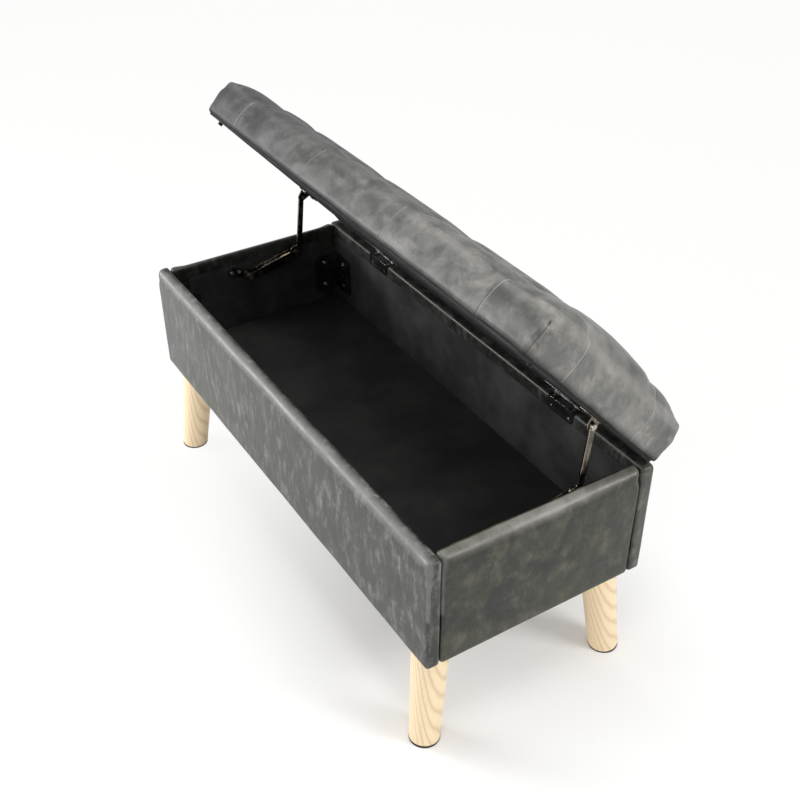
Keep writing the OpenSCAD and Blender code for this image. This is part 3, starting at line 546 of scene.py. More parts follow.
def slid_onto_panel(points, size, outer, rounds=8, reach=1e-5):
    """Points moved against the slope of the distance, until they lie on the panel."""
    for _ in range(rounds):
        far = panel_distance(points, size, outer)[0]
        slope = np.zeros_like(points)
        for axis in range(3):
            step = np.zeros(3)
            step[axis] = reach
            slope[:, axis] = (panel_distance(points + step, size, outer)[0] - far) / reach
        slope /= np.maximum(np.linalg.norm(slope, axis=1), 0.3)[:, None]
        points = points - far[:, None] * slope
    return points


print("wide roll starts", ROLL_HEIGHT * 1000, "mm below a panel's top")


# %% [markdown]
# The skin is cut finely at the lip, where the turned-in leather ends above the
# lining. Once it lies on the rounded shape, it swells, and its rolled edge is
# marked to be painted paler: partly wear, partly a painted highlight.

# %% Panel's skin
SQUARES, THIN_SQUARES = 0.008, 0.003
SWELL, UNEVEN, TOP_UNEVEN = 0.0014, 0.00035, 0.0005


def panel_skin(size, turn, seed, outer, across):
    """Points and faces of a panel's leather. Its outside faces +Y, its foot is at z = 0."""
    length, thick, high = size
    xs = cuts(-length / 2, length / 2, SQUARES, 0.012)
    ys = cuts(-thick / 2, thick / 2, THIN_SQUARES, 0.009)
    zs = cuts(0, high, SQUARES, 0.018)
    lip = high - turn
    lip_cuts = [lip - 0.0012, lip - 0.0003, lip + 0.0004, lip + 0.0016]
    zs = np.sort(np.concatenate([zs[abs(zs - lip) > 0.0025], lip_cuts]))
    points, faces = block_skin(xs, ys, zs)
    inner = points[:, 1] < -thick / 2 + 1e-6
    points = slid_onto_panel(points, size, outer)
    angle = panel_distance(points, size, outer)[1]
    u, v = 2 * points[:, 0] / length, 2 * points[:, 2] / high - 1
    inside = ease(0.5 - points[:, 1] / thick)
    swell = SWELL * (1 - u**8) * (1 - v**4) * (1 - inside)
    uneven = UNEVEN * waves(points, 0.07, seed) * (1 - 0.6 * inside)
    points[:, 1] += swell + uneven
    near_top = ease((points[:, 2] - high + 0.03) / 0.02)
    points[:, 2] += TOP_UNEVEN * waves(points * (1, 0, 0), 0.11, seed + 1) * near_top
    under = inner & (points[:, 2] < lip) & (abs(points[:, 0]) < length / 2 - 0.028)
    points[under, 1] = np.maximum(points[under, 1], -thick / 2 + LINING_STEP)
    # The rolled edge is marked to be painted paler: partly wear, partly a painted highlight, brightest near a
    # long panel's middle.
    if across:
        worn_and_sheen = ease(angle / 55) * (0.45 + 0.55 * np.exp(-(((u + 0.1) / 0.55) ** 2)))
    else:
        worn_and_sheen = ease(angle / 32) * ease((84 - angle) / 30)
    return points, faces, worn_and_sheen


print("squares of", SQUARES * 1000, "mm, swelling by", SWELL * 1000, "mm")


# %% [markdown]
# The long panels run the whole length. The end panels stand between them, turned
# by a quarter, so the seam between two panels shows on the box's end as a dark
# line. Front and back, and left and right, differ only by a turn.

# %% Panels in place
WIDE_ROLL, TURNED_IN = 0.019, 0.022


def padded_cover(node, angle, made, seed, outer):
    """A panel's leather, turned by an angle to its side of the box."""
    low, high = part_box(node)
    size = high - low
    along, thick = (size.x, size.y) if size.x > size.y else (size.y, size.x)
    points, faces, worn_and_sheen = panel_skin((along, thick, size.z), TURNED_IN, seed, outer, across=size.y > size.x)
    middle = (low + high) / 2
    spin = np.array(Matrix.Rotation(math.radians(angle), 3, "Z"))
    placed = points @ spin.T + np.array([middle.x, middle.y, low.z])
    cover = make_piece(node + "_leather", placed, faces, "base", "leather_panel")
    store(cover, "worn_and_sheen", worn_and_sheen)
    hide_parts(node)
    wear(cover, made)
    return cover


# The back and the left end wear the leather with painted shade.
for node, angle, made, seed, outer in (
        ("front_cover", 180, panel_leather, 3, WIDE_ROLL), ("back_cover", 0, painted_shade_leather, 5, SMALL_ROLL),
        ("left_cover", 90, painted_shade_leather, 7, WIDE_ROLL), ("right_cover", -90, end_leather, 9, WIDE_ROLL)):
    cover = padded_cover(node, angle, made, seed, outer)
    print(cover.name, len(cover.data.vertices), "points")


# %% [markdown]
# Under the leather each board's outer top edge is eased with a plane before the
# padding goes on, so the leather can roll over it in a wide curve. The CAD board
# is a plain one. Here a board with that eased edge takes its place.

# %% Eased boards
BOARD_ROUND = 0.0138


def eased_board(node, outside, radius=BOARD_ROUND):
    """A board in its CAD box whose outer top edge is a quarter round. Outside is its outer side."""
    low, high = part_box(node)
    axis = 0 if outside[0] else 1
    side = outside[axis]
    outer, inner = (high[axis], low[axis]) if side > 0 else (low[axis], high[axis])
    arc = [(outer - side * radius * (1 - math.cos(a)), high.z - radius * (1 - math.sin(a)))
           for a in np.radians(np.linspace(0, 90, 13))]
    profile = [(inner, low.z), (outer, low.z), *arc, (inner, high.z)]
    ends = (low[1 - axis], high[1 - axis])
    points = [(u, e, z) if axis == 0 else (e, u, z) for e in ends for u, z in profile]
    count = len(profile)
    faces = [(k, (k + 1) % count, count + (k + 1) % count, count + k) for k in range(count)]
    faces += [tuple(range(count))[::-1], tuple(range(count, 2 * count))]
    board = make_piece(node + "_eased", points, faces, "base", "pine_board", smooth=False)
    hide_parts(node)
    return board


eased = [eased_board("front_board", (0, -1)), eased_board("left_board", (-1, 0)),
         eased_board("right_board", (1, 0))]
print("eased boards:", [board.name for board in eased])


# %% [markdown]
# ## The quilted cushion
# The lid is a foam slab under leather that is sewn from squares. It is drawn for
# the closed lid, where its sides are upright, and turned open at the end. A block
# skin gives the first shape: drawn-in sides, a crown, and channels along the
# seams.

# %% The lid's sizes
HINGE = Vector((0.0, 0.182, 0.3825))
OPEN_ANGLE = math.radians(-47.3)
open_lid = Matrix.Translation(HINGE) @ Matrix.Rotation(OPEN_ANGLE, 4, "X") @ Matrix.Translation(-HINGE)
closed_lid = open_lid.inverted()
LID = {"left": -0.452, "right": 0.452, "front": -0.185, "back": 0.1885,
       "foot": 0.386, "side": 0.063, "crown": 0.024}
LID_LENGTH = LID["right"] - LID["left"]
LID_DEPTH = LID["back"] - LID["front"]
SEAMS_X = [-0.348, -0.116, 0.116, 0.348]
SEAMS_Y = [LID["front"] + 0.0878, LID["back"] - 0.0878]
CUSHION_CORNER = 0.009  # radius of its upright corners
END_ROLL, LONG_ROLL = 0.01, 0.028  # how far the top draws in at the ends and at the long sides
CHANNEL = 0.0045  # depth of the channels along the seams
CUSHION_STEP, CUSHION_EDGE = 0.006, 0.014  # squares of the skin, and the strip with smaller ones


print("quilting:", len(SEAMS_X) + 1, "by", len(SEAMS_Y) + 1, "squares")


# %% [markdown]
# Seams lie lower than the leather between them. The foot is drawn in a little
# where the leather is stapled, and the long sides roll over more than the ends.

# %% Cushion's first shape
def between(values, seams, low, high):
    """0 on a seam, 1 midway between two seams, and 1 at the outer ends."""
    edges = [low, *seams, high]
    puff = np.zeros(len(values))
    for n, (a, b) in enumerate(zip(edges, edges[1:])):
        t = np.clip((values - a) / (b - a), 0, 1)
        if n == 0:
            shape = np.sin(math.pi / 2 * (1 - t))
        elif n == len(edges) - 2:
            shape = np.sin(math.pi / 2 * t)
        else:
            shape = np.sin(math.pi * t)
        here = (values >= a - 1e-9) & (values <= b + 1e-9)
        puff[here] = np.maximum(shape[here], 0) ** 0.55
    return puff


def cushion_shape(points):
    """Moves the skin of a block onto the cushion's shape. Heights run from 0 to 1."""
    x, y, h = points.T
    cx, cy = (LID["left"] + LID["right"]) / 2, (LID["front"] + LID["back"]) / 2
    u, v = 2 * (x - cx) / LID_LENGTH, 2 * (y - cy) / LID_DEPTH
    lean = 1 + 0.5 * np.abs(v) ** 3 * np.sign(v)
    roll = np.clip((h - 0.4) / 0.6, 0, 1) * 0.97
    foot = np.interp(h, [0, 0.06, 0.16, 0.4], [0.0052, 0.0034, 0.0015, 0]) * (1 - 0.6 * abs(u) ** 8)
    end_roll = np.clip((h - 0.7) / 0.3, 0, 1) * 0.95
    side_roll = (1 - np.sqrt(1 - roll**2)) * lean * (1 - 0.85 * abs(u) ** 10)
    inset = np.stack([foot * 0.4 + END_ROLL * (1 - np.sqrt(1 - end_roll**2)), foot + LONG_ROLL * side_roll], 1)
    outward = np.maximum(abs(u), abs(v))
    corner = CUSHION_CORNER
    half = np.array([LID_LENGTH / 2, LID_DEPTH / 2])
    flat = np.stack([x - cx, y - cy], 1) * (1 - inset / half)
    bound = half - inset
    core = np.clip(flat, -(bound - corner), bound - corner)
    out = flat - core
    reach = np.linalg.norm(out, axis=1)
    limit = np.where(reach > corner, corner / np.maximum(reach, 1e-9), 1.0)
    flat = core + out * limit[:, None]
    puffs = np.minimum(between(x, SEAMS_X, LID["left"], LID["right"]),
                       between(y, SEAMS_Y, LID["front"], LID["back"]))
    crown = LID["crown"] * (1 - abs(v) ** (2.6 + 5 * abs(u) ** 12)) * (1 - abs(u) ** 36)
    crown -= CHANNEL * (1 - puffs)
    rise = h * LID["side"] + np.where(h > 0.999, 0.002 + crown * ease((1 - outward) / 0.035), 0)
    return np.stack([flat[:, 0] + cx, flat[:, 1] + cy, LID["foot"] + rise], 1)


def seam_distance(points):
    """Distance from each point to the nearest seam of the quilting."""
    away = [abs(points[:, 0] - s) for s in SEAMS_X] + [abs(points[:, 1] - s) for s in SEAMS_Y]
    return np.min(away, axis=0)


xs = cuts(LID["left"], LID["right"], CUSHION_STEP, CUSHION_EDGE)
ys = cuts(LID["front"], LID["back"], CUSHION_STEP, CUSHION_EDGE)
heights = np.array([0, 0.08, 0.16, 0.28, 0.42, 0.54, 0.64, 0.73, 0.81, 0.88, 0.94, 1.0])
skin, skin_faces = block_skin(xs, ys, heights)
skin = cushion_shape(skin)
cushion = make_piece("lid_cushion_leather", skin, skin_faces, "lid", "leather_lid")
print("cushion starts with", len(skin), "points, height", round(float(skin[:, 2].max() - LID["foot"]), 4))


# %% [markdown]
# Real upholstery is cloth under tension over something that pushes back. A cloth
# simulation with a little air pressure shows that: the leather swells between
# its seams, and small wrinkles run into them. The mesh is rebuilt first with even
# squares, the foot and the seams are held, and no point may move further than a
# few millimetres, so the cushion keeps its size.

# %% Even squares and even steps
SQUARE = 0.005  # side of the rebuilt mesh's squares


def rebuilt(piece, size):
    """Rebuilds a closed mesh with even squares."""
    change = piece.modifiers.new("even", "REMESH")
    change.mode = "VOXEL"
    change.voxel_size = size
    apply_changes(piece)


def limited(step, most):
    """Steps that are at most so long, and the length that each had."""
    size = np.linalg.norm(step, axis=1)
    return step * np.minimum(1, most / np.maximum(size, 1e-9))[:, None], size


def smoothed(step, mesh, rounds=5):
    """Steps evened out between neighbouring points of a mesh."""
    pairs = np.zeros(len(mesh.edges) * 2, np.int32)
    mesh.edges.foreach_get("vertices", pairs)
    a, b = pairs.reshape(-1, 2).T
    count = np.bincount(pairs, minlength=len(step))[:, None]
    for _ in range(rounds):
        total = np.zeros_like(step)
        np.add.at(total, a, step[b])
        np.add.at(total, b, step[a])
        step = 0.4 * step + 0.6 * total / count
    return step


rebuilt(cushion, SQUARE)
print("rebuilt with", len(cushion.data.vertices), "points")


# %% [markdown]
# The simulation runs for twenty frames. Its result is taken over as steps of the
# points, which are cut short, weighted and evened out, so no step leaves a crease
# where it stops.

# %% Cushion filled by simulation
PRESSURE, MOST, FRAMES = 4.0, 0.006, 20
FIRM, SEWN = 1.0, 0.8  # how firmly the foot and the seams are held


def fill(piece, held, free, pressure, most):
    """Swells a piece by cloth simulation. Held points stay, others move at most so far times free."""
    start = coordinates(piece.data)
    grip = piece.vertex_groups.new(name="held")
    for weight in (FIRM, SEWN):
        grip.add([int(i) for i in np.flatnonzero(np.isclose(held, weight))], weight, "REPLACE")
    cloth = piece.modifiers.new("fill", "CLOTH")
    for name, value in {"quality": 4, "mass": 0.3, "tension_stiffness": 20, "compression_stiffness": 20,
                        "bending_stiffness": 2.0, "use_pressure": True, "uniform_pressure_force": pressure,
                        "vertex_group_mass": "held", "shrink_min": -0.02}.items():
        setattr(cloth.settings, name, value)
    cloth.settings.effector_weights.gravity = 0.0
    cloth.collision_settings.use_self_collision = False
    for number in range(1, FRAMES + 1):
        bpy.context.scene.frame_set(number)
    moved = coordinates(piece.evaluated_get(bpy.context.evaluated_depsgraph_get()).data)
    bpy.context.scene.frame_set(1)
    piece.modifiers.remove(cloth)
    piece.vertex_groups.clear()
    step, size = limited(moved - start, most)
    move_points(piece, start + smoothed(step * free[:, None], piece.data))
    print(piece.name, "swelled by up to", round(float(np.minimum(size, most).max()), 4), "m")


before = coordinates(cushion.data)
seam_away = seam_distance(before)
held = np.where(seam_away < 0.003, SEWN, 0.0)
held = np.where(before[:, 2] < LID["foot"] + 0.006, FIRM, held)
near_end = np.minimum(before[:, 0] - LID["left"], LID["right"] - before[:, 0])
free = ease((before[:, 2] - LID["foot"] - 0.004) / 0.04) * (0.25 + 0.75 * ease(near_end / 0.03))
fill(cushion, held, free, PRESSURE, MOST)
print("simulated")


# %% [markdown]
# The mesh is then refined once, seam distances and the rolled edges' wear and
# painted highlight are stored for the material, and the lid is turned open. At
# the four corners the leather is folded to a sharp upright crease, which ends in
# a small pleat at the top. The material paints shade along each crease.

# %% Cushion's seams and corners
CREASE_TOP = LID["foot"] + 0.05
CREASE_IN = 0.0028  # how far inside the corner the crease runs
GROOVE_WIDTH, GROOVE_DEPTH = 0.0035, 0.0016
PLEAT_WIDTH, PLEAT_DEPTH, PLEAT_DROP = 0.006, 0.0035, 0.0022


def refined(piece):
    """Divides each face of a mesh in four."""
    change = piece.modifiers.new("fine", "SUBSURF")
    change.levels = change.render_levels = 1
    apply_changes(piece)


def crease_corner(points, sx, sy):
    """Folds the points at one corner, and gives their distance to the crease, where the material paints shade.
    """
    inward = np.array([-np.sign(sx), -np.sign(sy)])
    corner = np.array([sx, sy]) + inward * CREASE_IN
    line = np.linalg.norm(points[:, :2] - corner, axis=1)
    groove = np.exp(-((line / GROOVE_WIDTH) ** 2)) * ease((CREASE_TOP - points[:, 2]) / 0.004)
    pleat = np.linalg.norm(points - np.array([*(corner + inward * 0.003), CREASE_TOP]), axis=1)
    dip = np.exp(-((pleat / PLEAT_WIDTH) ** 2))
    points[:, :2] += inward * (GROOVE_DEPTH * groove + PLEAT_DEPTH * dip)[:, None]
    points[:, 2] -= PLEAT_DROP * dip
    below = CREASE_TOP + 0.003 - points[:, 2]
    across = abs((points[:, :2] - corner) @ (inward * (1, -1))) / math.sqrt(2)
    wedge = 0.0002 + 0.0011 * ease(1 - abs(below - 0.004) / 0.005)
    return np.where((below > 0) & (line < 0.02), np.maximum(across - wedge, 0), 1.0)


refined(cushion)
points = coordinates(cushion.data)
away = seam_distance(points)
crease_shade = np.full(len(points), 1.0)
for sx in (LID["left"], LID["right"]):
    for sy in (LID["front"], LID["back"]):
        crease_shade = np.minimum(crease_shade, crease_corner(points, sx, sy))
# A line of painted shade along the cushion's foot as well.
crease_shade = np.minimum(crease_shade, np.maximum(points[:, 2] - LID["foot"] - 0.003, 0))
print("cushion has", len(points), "points,", int((crease_shade < CREASE_SHADE_WIDTH).sum()), "of them in creases")


# %% [markdown]
# The foot of the cushion is pulled a little unevenly over its board. After that
# the cushion is turned open, and its material's numbers are stored.

# %% Cushion turned open
HEM_HEIGHT, HEM_UNEVEN, SIDE_UNEVEN = 0.012, 0.0012, 0.0007
hem = ease((LID["foot"] + HEM_HEIGHT - points[:, 2]) / HEM_HEIGHT)
points[:, 2] += HEM_UNEVEN * hem * waves(points * (1, 1, 0), 0.05, 21)
lifted = ease((points[:, 2] - LID["foot"] - 0.01) / 0.01)
points[:, :2] += (SIDE_UNEVEN * waves(points, 0.045, 22) * lifted)[:, None] * (0.5, 1.0)
move_points(cushion, np.array([open_lid @ Vector(p) for p in points]))
# The height above the foot and the crease distance carry painted shade.
up = points[:, 2] - LID["foot"]
middle_y = (LID["front"] + LID["back"]) / 2
rim = np.maximum(abs(points[:, 0]) / (LID_LENGTH / 2), abs(points[:, 1] - middle_y) / (LID_DEPTH / 2))
# The cushion's rolled top edge is marked paler: partly wear, partly a painted highlight.
worn_and_sheen = ease(1 - abs(up / LID["side"] - 0.95) / 0.2) * ease((rim - 0.93) / 0.05) * 0.6
for name, values in (("seam", away), ("crease_shade", crease_shade), ("low", up), ("worn_and_sheen", worn_and_sheen)):
    store(cushion, name, values)
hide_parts("lid_cushion")
wear(cushion, lid_leather)
print("cushion reaches up to", round(max(c[2] for c in cushion.bound_box), 4), "m")


# %% [markdown]
# ## Black cloth
# The inside of the box and the underside of the lid are lined with thin black
# cloth over board. Such felted cloth has short fibres that lie in all directions,
# so its material is a fine noise that does not shine, and its sheets are almost
# flat, with slightly uneven edges.

# %% Black cloth
def make_black_cloth():
    """Matt black felted cloth."""
    made, tree, shader = material("black_cloth", roughness=0.9, Specular_IOR_Level=0.0)
    where = here(tree)
    fibre = noise(tree, "fibres", where, Scale=1400.0, Detail=4.0, Roughness=0.7)
    patch = noise(tree, "rubbed patches", where, Scale=14.0, Detail=5.0, Roughness=0.6)
    tone = blend(tree, (0.033, 0.033, 0.0335), (0.07, 0.07, 0.069), ramp(tree, patch, 0.3, 0.75))
    tone = blend(tree, tone, (0.075, 0.075, 0.073), times(tree, ramp(tree, fibre, 0.5, 0.8), 0.5))
    feed(tree, shader.inputs["Base Color"], tone)
    relief(tree, shader, fibre, 0.4, 0.0004)
    return made


black_cloth = make_black_cloth()
print("black cloth is", len(black_cloth.node_tree.nodes), "nodes")


# %% [markdown]
# The linings stay where the CAD has them. The lid's black base is drawn for the
# closed lid and then turned open. Its corners are rounder, it stays inside the
# cushion's sides, and its back edge has a small hem, which leaves room for the
# hinges.

# %% Cloth on its boards
BASE_CORNER = 0.012
BASE_SHORTER, BASE_BACK = 0.003, 0.0025  # how far its ends and its front stay inside the CAD's
HEM_START, HEM_DEPTH, HEM_OUT = 0.1795, 0.0021, 0.0012
HINGE_X, HINGE_ROOM = 0.265, 0.038


def base_of_lid(points, middle, half):
    """Shapes the closed lid's black base."""
    inner_part = half[:2] - BASE_CORNER
    flat = points[:, :2] - middle[:2]
    over = np.maximum(abs(flat) - inner_part, 0)
    reach = np.linalg.norm(over, axis=1)
    pull = np.where((over.min(1) > 0) & (reach > BASE_CORNER), BASE_CORNER / np.maximum(reach, 1e-9), 1.0)
    flat = np.sign(flat) * np.where(over > 0, inner_part + over * pull[:, None], abs(flat))
    points[:, :2] = flat + middle[:2]
    hinge_near = ease((HINGE_ROOM - abs(abs(points[:, 0]) - HINGE_X)) / 0.004)
    points[:, 0] -= BASE_SHORTER * np.sign(points[:, 0]) * ease(abs(points[:, 0]) / 0.44)
    points[:, 1] += BASE_BACK * ease((-0.1 - points[:, 1]) / 0.08)
    hem = ease((points[:, 1] - HEM_START) / 0.003) * (1 - hinge_near)
    points[:, 2] -= HEM_DEPTH * hem * (points[:, 2] < middle[2])
    points[:, 1] += HEM_OUT * hem
    return points


def cloth_board(node, body, seed, turned_by=None):
    """A thin sheet in place of a CAD slab, with soft edges and small waves."""
    low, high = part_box(node)
    if turned_by is not None:
        shut = np.array([closed_lid @ Vector(p) for p in coordinates(frame["nodes"][node].data)])
        low, high = Vector(shut.min(0)), Vector(shut.max(0))
    size = high - low
    edge = min(size) / 2.2
    points, faces = block_skin(*[cuts(low[a], high[a], 0.012 if size[a] > 0.01 else size[a] / 3,
                                      min(edge, size[a] / 2.2)) for a in range(3)])
    middle, half = np.array((low + high) / 2), np.array(size) / 2
    core = np.clip(points, middle - half + edge, middle + half - edge)
    out = points - core
    points = core + out / np.maximum(np.linalg.norm(out, axis=1), 1e-9)[:, None] * edge
    points[:, int(np.argmin(half))] += 0.00018 * waves(points, 0.05, seed)
    if turned_by is not None:
        points = np.array([turned_by @ Vector(p) for p in base_of_lid(points, middle, half)])
    cloth = make_piece(node + "_cloth", points, faces, body, "black_cloth")
    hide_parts(node)
    wear(cloth, black_cloth)


for seed, node in enumerate(("front_lining", "back_lining", "left_lining", "right_lining")):
    cloth_board(node, "base", 30 + seed)
cloth_board("lid_base", "lid", 40, open_lid)


# %% [markdown]
# ## The floor of the box
# The bottom is a thin black board that lies on cleats. Things have slid over it,
# so it has faint pale scuffs: stretched noise that is cut off high, on a nearly
# black ground.

# %% Bottom board
def make_black_board():
    """Nearly black board with dust and scuffs."""
    made, tree, shader = material("black_board", roughness=0.72, Specular_IOR_Level=0.35)
    where = here(tree)
    turn = add(tree, "Mapping", Vector=where, Rotation=(0, 0, math.radians(35)), Scale=(2.0, 18.0, 2.0))
    scuff = noise(tree, "scuffs", turn.outputs["Vector"], Scale=5.0, Detail=8.0, Roughness=0.75)
    dust = noise(tree, "dust", where, Scale=10.0, Detail=6.0, Roughness=0.6)
    speck = noise(tree, "specks", where, Scale=700.0, Detail=2.0)
    tone = blend(tree, (0.015, 0.015, 0.0152), (0.032, 0.032, 0.03), ramp(tree, dust, 0.35, 0.7))
    tone = blend(tree, tone, (0.07, 0.07, 0.068), ramp(tree, scuff, 0.66, 0.8))
    feed(tree, shader.inputs["Base Color"], tone)
    relief(tree, shader, speck, 0.15, 0.0003)
    return made


wear(frame["nodes"]["bottom_board"], make_black_board())
print("bottom board wears", frame["nodes"]["bottom_board"].data.materials[0].name)


# %% [markdown]
# ## Wood
# The legs are turned from pale wood with a clear coat. Grain is the trunk's rings
# of growth. The trunk's heart lay beside the leg and leaned a little, so the rings
# meet the round surface as long lines and a few pointed arches. The group takes
# coordinates in which the leg stands upright, and stretches its noise that way.

# %% Wood group
def make_wood_group():
    """Growth rings round a leaning heart, and fine fibres."""
    tree, take, give = group(
        "straight grain",
        [("Vector", "Vector", None), ("Pale", "Color", (0.8, 0.6, 0.4, 1)),
         ("Line", "Color", (0.5, 0.3, 0.15, 1)), ("Rings", "Float", 60.0)],
        [("Color", "Color"), ("Height", "Float")],
    )
    along = add(tree, "Mapping", "grain runs along Z", Vector=take["Vector"], Scale=(1.0, 1.0, 0.08))
    heart = add(tree, "Mapping", "heart of the trunk, beside the piece and leaning", Vector=take["Vector"],
                Location=(0.042, 0.024, 0.0), Rotation=(math.radians(-3), math.radians(8), 0))
    sway = add(tree, "TexNoise", "sway", Vector=along.outputs["Vector"], Scale=14.0, Detail=3.0)
    pushed = add(tree, "VectorMath", operation="MULTIPLY_ADD")
    for number, value in enumerate((sway.outputs["Color"], (0.016, 0.016, 0.0), heart.outputs["Vector"])):
        feed(tree, pushed.inputs[number], value)
    rings = add(tree, "TexWave", "growth rings", wave_type="RINGS", rings_direction="Z",
                Vector=pushed.outputs["Vector"], Scale=take["Rings"], Distortion=1.2, Detail=3.0)
    fine = noise(tree, "fine fibres", along.outputs["Vector"], Scale=900.0, Detail=3.0, Roughness=0.7)
    lines = calculate(tree, "POWER", rings.outputs["Fac"], 3.5)
    tone = blend(tree, take["Pale"], take["Line"], times(tree, lines, 0.6))
    tone = blend(tree, tone, take["Line"], times(tree, ramp(tree, fine, 0.45, 0.8), 0.35))
    feed(tree, give["Color"], tone)
    feed(tree, give["Height"], fine)
    return tree


print("straight grain group has", len(make_wood_group().nodes), "nodes")


# %% [markdown]
# Each leg leans its own way, so each has its own material, whose grain runs from
# the leg's foot to its head. The hidden boards share a plain wood. The boards
# under the leather are nearly black, as painted shade in the thin gaps that show
# a little of their ends.

# %% Wood materials
LEG_FOOT, LEG_HEAD = (0.418, 0.171, 0.0), (0.401, 0.151, 0.181)
LEG_PALE, LEG_LINE, LEG_RINGS = (0.94, 0.77, 0.51), (0.7, 0.45, 0.255), 54.0
BOARD_GRAIN = ((0, 0, 0), (1, 0, 0.02))


def wood(name, foot, head, pale, line, rings, roughness, coat=0.0):
    """Wood whose grain runs from one point to another."""
    made, tree, shader = material(name, roughness=roughness, Coat_Weight=coat, Coat_Roughness=0.25)
    turn = Vector((0, 0, 1)).rotation_difference(Vector(head) - Vector(foot)).to_euler()
    stand = add(tree, "Mapping", "the piece stood upright", vector_type="TEXTURE",
                Vector=here(tree), Location=foot, Rotation=turn)
    grain = place(tree, "straight grain", Vector=stand.outputs["Vector"], Pale=pale, Line=line, Rings=rings)
    feed(tree, shader.inputs["Base Color"], grain["Color"])
    relief(tree, shader, grain["Height"], 0.12, 0.0004)
    return made


for node, sx, sy in (("front_left_leg", -1, -1), ("front_right_leg", 1, -1),
                     ("back_left_leg", -1, 1), ("back_right_leg", 1, 1)):
    foot, head = [(sx * x, sy * y, z) for x, y, z in (LEG_FOOT, LEG_HEAD)]
    wear(frame["nodes"][node],
         wood(node + "_wood", foot, head, LEG_PALE, LEG_LINE, LEG_RINGS, 0.42, coat=0.15))
raw_wood = wood("raw_wood", *BOARD_GRAIN, (0.62, 0.47, 0.3), (0.4, 0.26, 0.14), 25.0, 0.7)
for node in ("bottom_cleats", "corner_blocks", "lid_board"):
    wear(frame["nodes"][node], raw_wood)
# Nearly black wood: painted shade for the gaps between the panels.
gap_shade_wood = wood("gap_shade_wood", *BOARD_GRAIN, (0.03, 0.027, 0.024), (0.015, 0.013, 0.011), 25.0, 0.75)
for board in (frame["nodes"]["back_board"], *eased):
    wear(board, gap_shade_wood)
print("wood on 4 legs and 7 hidden nodes")


# %% [markdown]
# ## Metal
# The hardware is sheet steel: painted black on the hinges and brackets, dark
# bronze on the stays. Paint wears off along its edges, so each plate is a copy of
# its CAD solid with a narrow bevel, and the bevel's faces take a brighter metal.
# The bevel also catches a line of light, as a real edge does.

# %% Metal materials
def metal(name, tone, pale, roughness, metallic=1.0, blotch=30.0, coat=0.0):
    """Metal, or paint on it, with an uneven finish between two tones."""
    made, tree, shader = material(name, roughness, metallic, Coat_Weight=coat, Coat_Roughness=0.12)
    where = here(tree)
    spread = ramp(tree, noise(tree, "uneven finish", where, Scale=blotch, Detail=4.0, Roughness=0.6), 0.35, 0.7)
    feed(tree, shader.inputs["Base Color"], blend(tree, tone, pale, spread))
    feed(tree, shader.inputs["Roughness"], plus(tree, times(tree, spread, 0.14), roughness - 0.07))
    relief(tree, shader, noise(tree, "fine texture", where, Scale=1500.0, Detail=2.0), 0.08, 0.0002)
    return made


black_paint = metal("black_paint", (0.008, 0.008, 0.009), (0.02, 0.019, 0.019), 0.3, metallic=0.0, coat=0.4)
bare_edge = metal("bare_edge", (0.5, 0.46, 0.42), (0.72, 0.68, 0.64), 0.28)
bronze = metal("bronze_steel", (0.07, 0.061, 0.05), (0.2, 0.175, 0.14), 0.28, blotch=60.0)
bronze_edge = metal("bronze_edge", (0.4, 0.34, 0.28), (0.62, 0.54, 0.45), 0.26)
zinc = metal("zinc_steel", (0.7, 0.7, 0.68), (0.88, 0.88, 0.86), 0.25)
brass = metal("brass_cap", (0.6, 0.5, 0.32), (0.82, 0.74, 0.55), 0.3)
rivet_steel = metal("rivet_steel", (0.28, 0.24, 0.2), (0.5, 0.45, 0.4), 0.3)
print("metals:", [m.name for m in (black_paint, bare_edge, bronze, bronze_edge, zinc, brass, rivet_steel)])


# %% [markdown]
# A plate is a copy of its CAD solid. Its flat faces are joined first, so that the
# bevel follows the real edges only, and the bevel's own faces take the second
# metal.

# %% Plates
THIN_BEVEL, HINGE_BEVEL = 0.0004, 0.0006


def worn_plate(node, width, face, edge):
    """A copy of a CAD plate with bevelled edges of a second metal, in its place."""
    source = frame["nodes"][node]
    mesh = source.data.copy()
    mesh.materials.clear()
    work = bmesh.new()
    work.from_mesh(mesh)
    bmesh.ops.remove_doubles(work, verts=work.verts, dist=1e-6)
    bmesh.ops.dissolve_limit(work, angle_limit=math.radians(1.5), verts=work.verts, edges=work.edges)
    work.to_mesh(mesh)
    work.free()
    for made in (face, edge):
        mesh.materials.append(made)
    for polygon in mesh.polygons:
        polygon.material_index = 0
    plate = put_in_scene(node + "_plate", mesh)
    bevel = plate.modifiers.new("edges", "BEVEL")
    for name, value in {"width": width, "segments": 2, "limit_method": "ANGLE", "material": 1,
                        "angle_limit": math.radians(50), "harden_normals": False}.items():
        setattr(bevel, name, value)
    apply_changes(plate).set_sharp_from_angle(angle=math.radians(35))
    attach(plate, source["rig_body"])
    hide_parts(node)


for node in ("front_left_bracket", "front_right_bracket", "back_left_bracket", "back_right_bracket"):
    worn_plate(node, THIN_BEVEL, black_paint, black_paint)
for side in ("left_", "right_"):
    for part in ("hinge_body_leaf", "hinge_lid_leaf"):
        worn_plate(side + part, HINGE_BEVEL, black_paint, bare_edge)
    for part in ("stay_plate", "stay_channel", "stay_arm", "stay_lid_bracket"):
        worn_plate(side + part, THIN_BEVEL, bronze, bronze_edge)
    for part in ("stay_pivot_rivet", "stay_elbow_rivet", "stay_tip_rivet"):
        wear(frame["nodes"][side + part], rivet_steel)
    wear(frame["nodes"][side + "stay_plunger"], brass)
for node in ("hinge_pins", "leg_bolts"):
    wear(frame["nodes"][node], zinc)


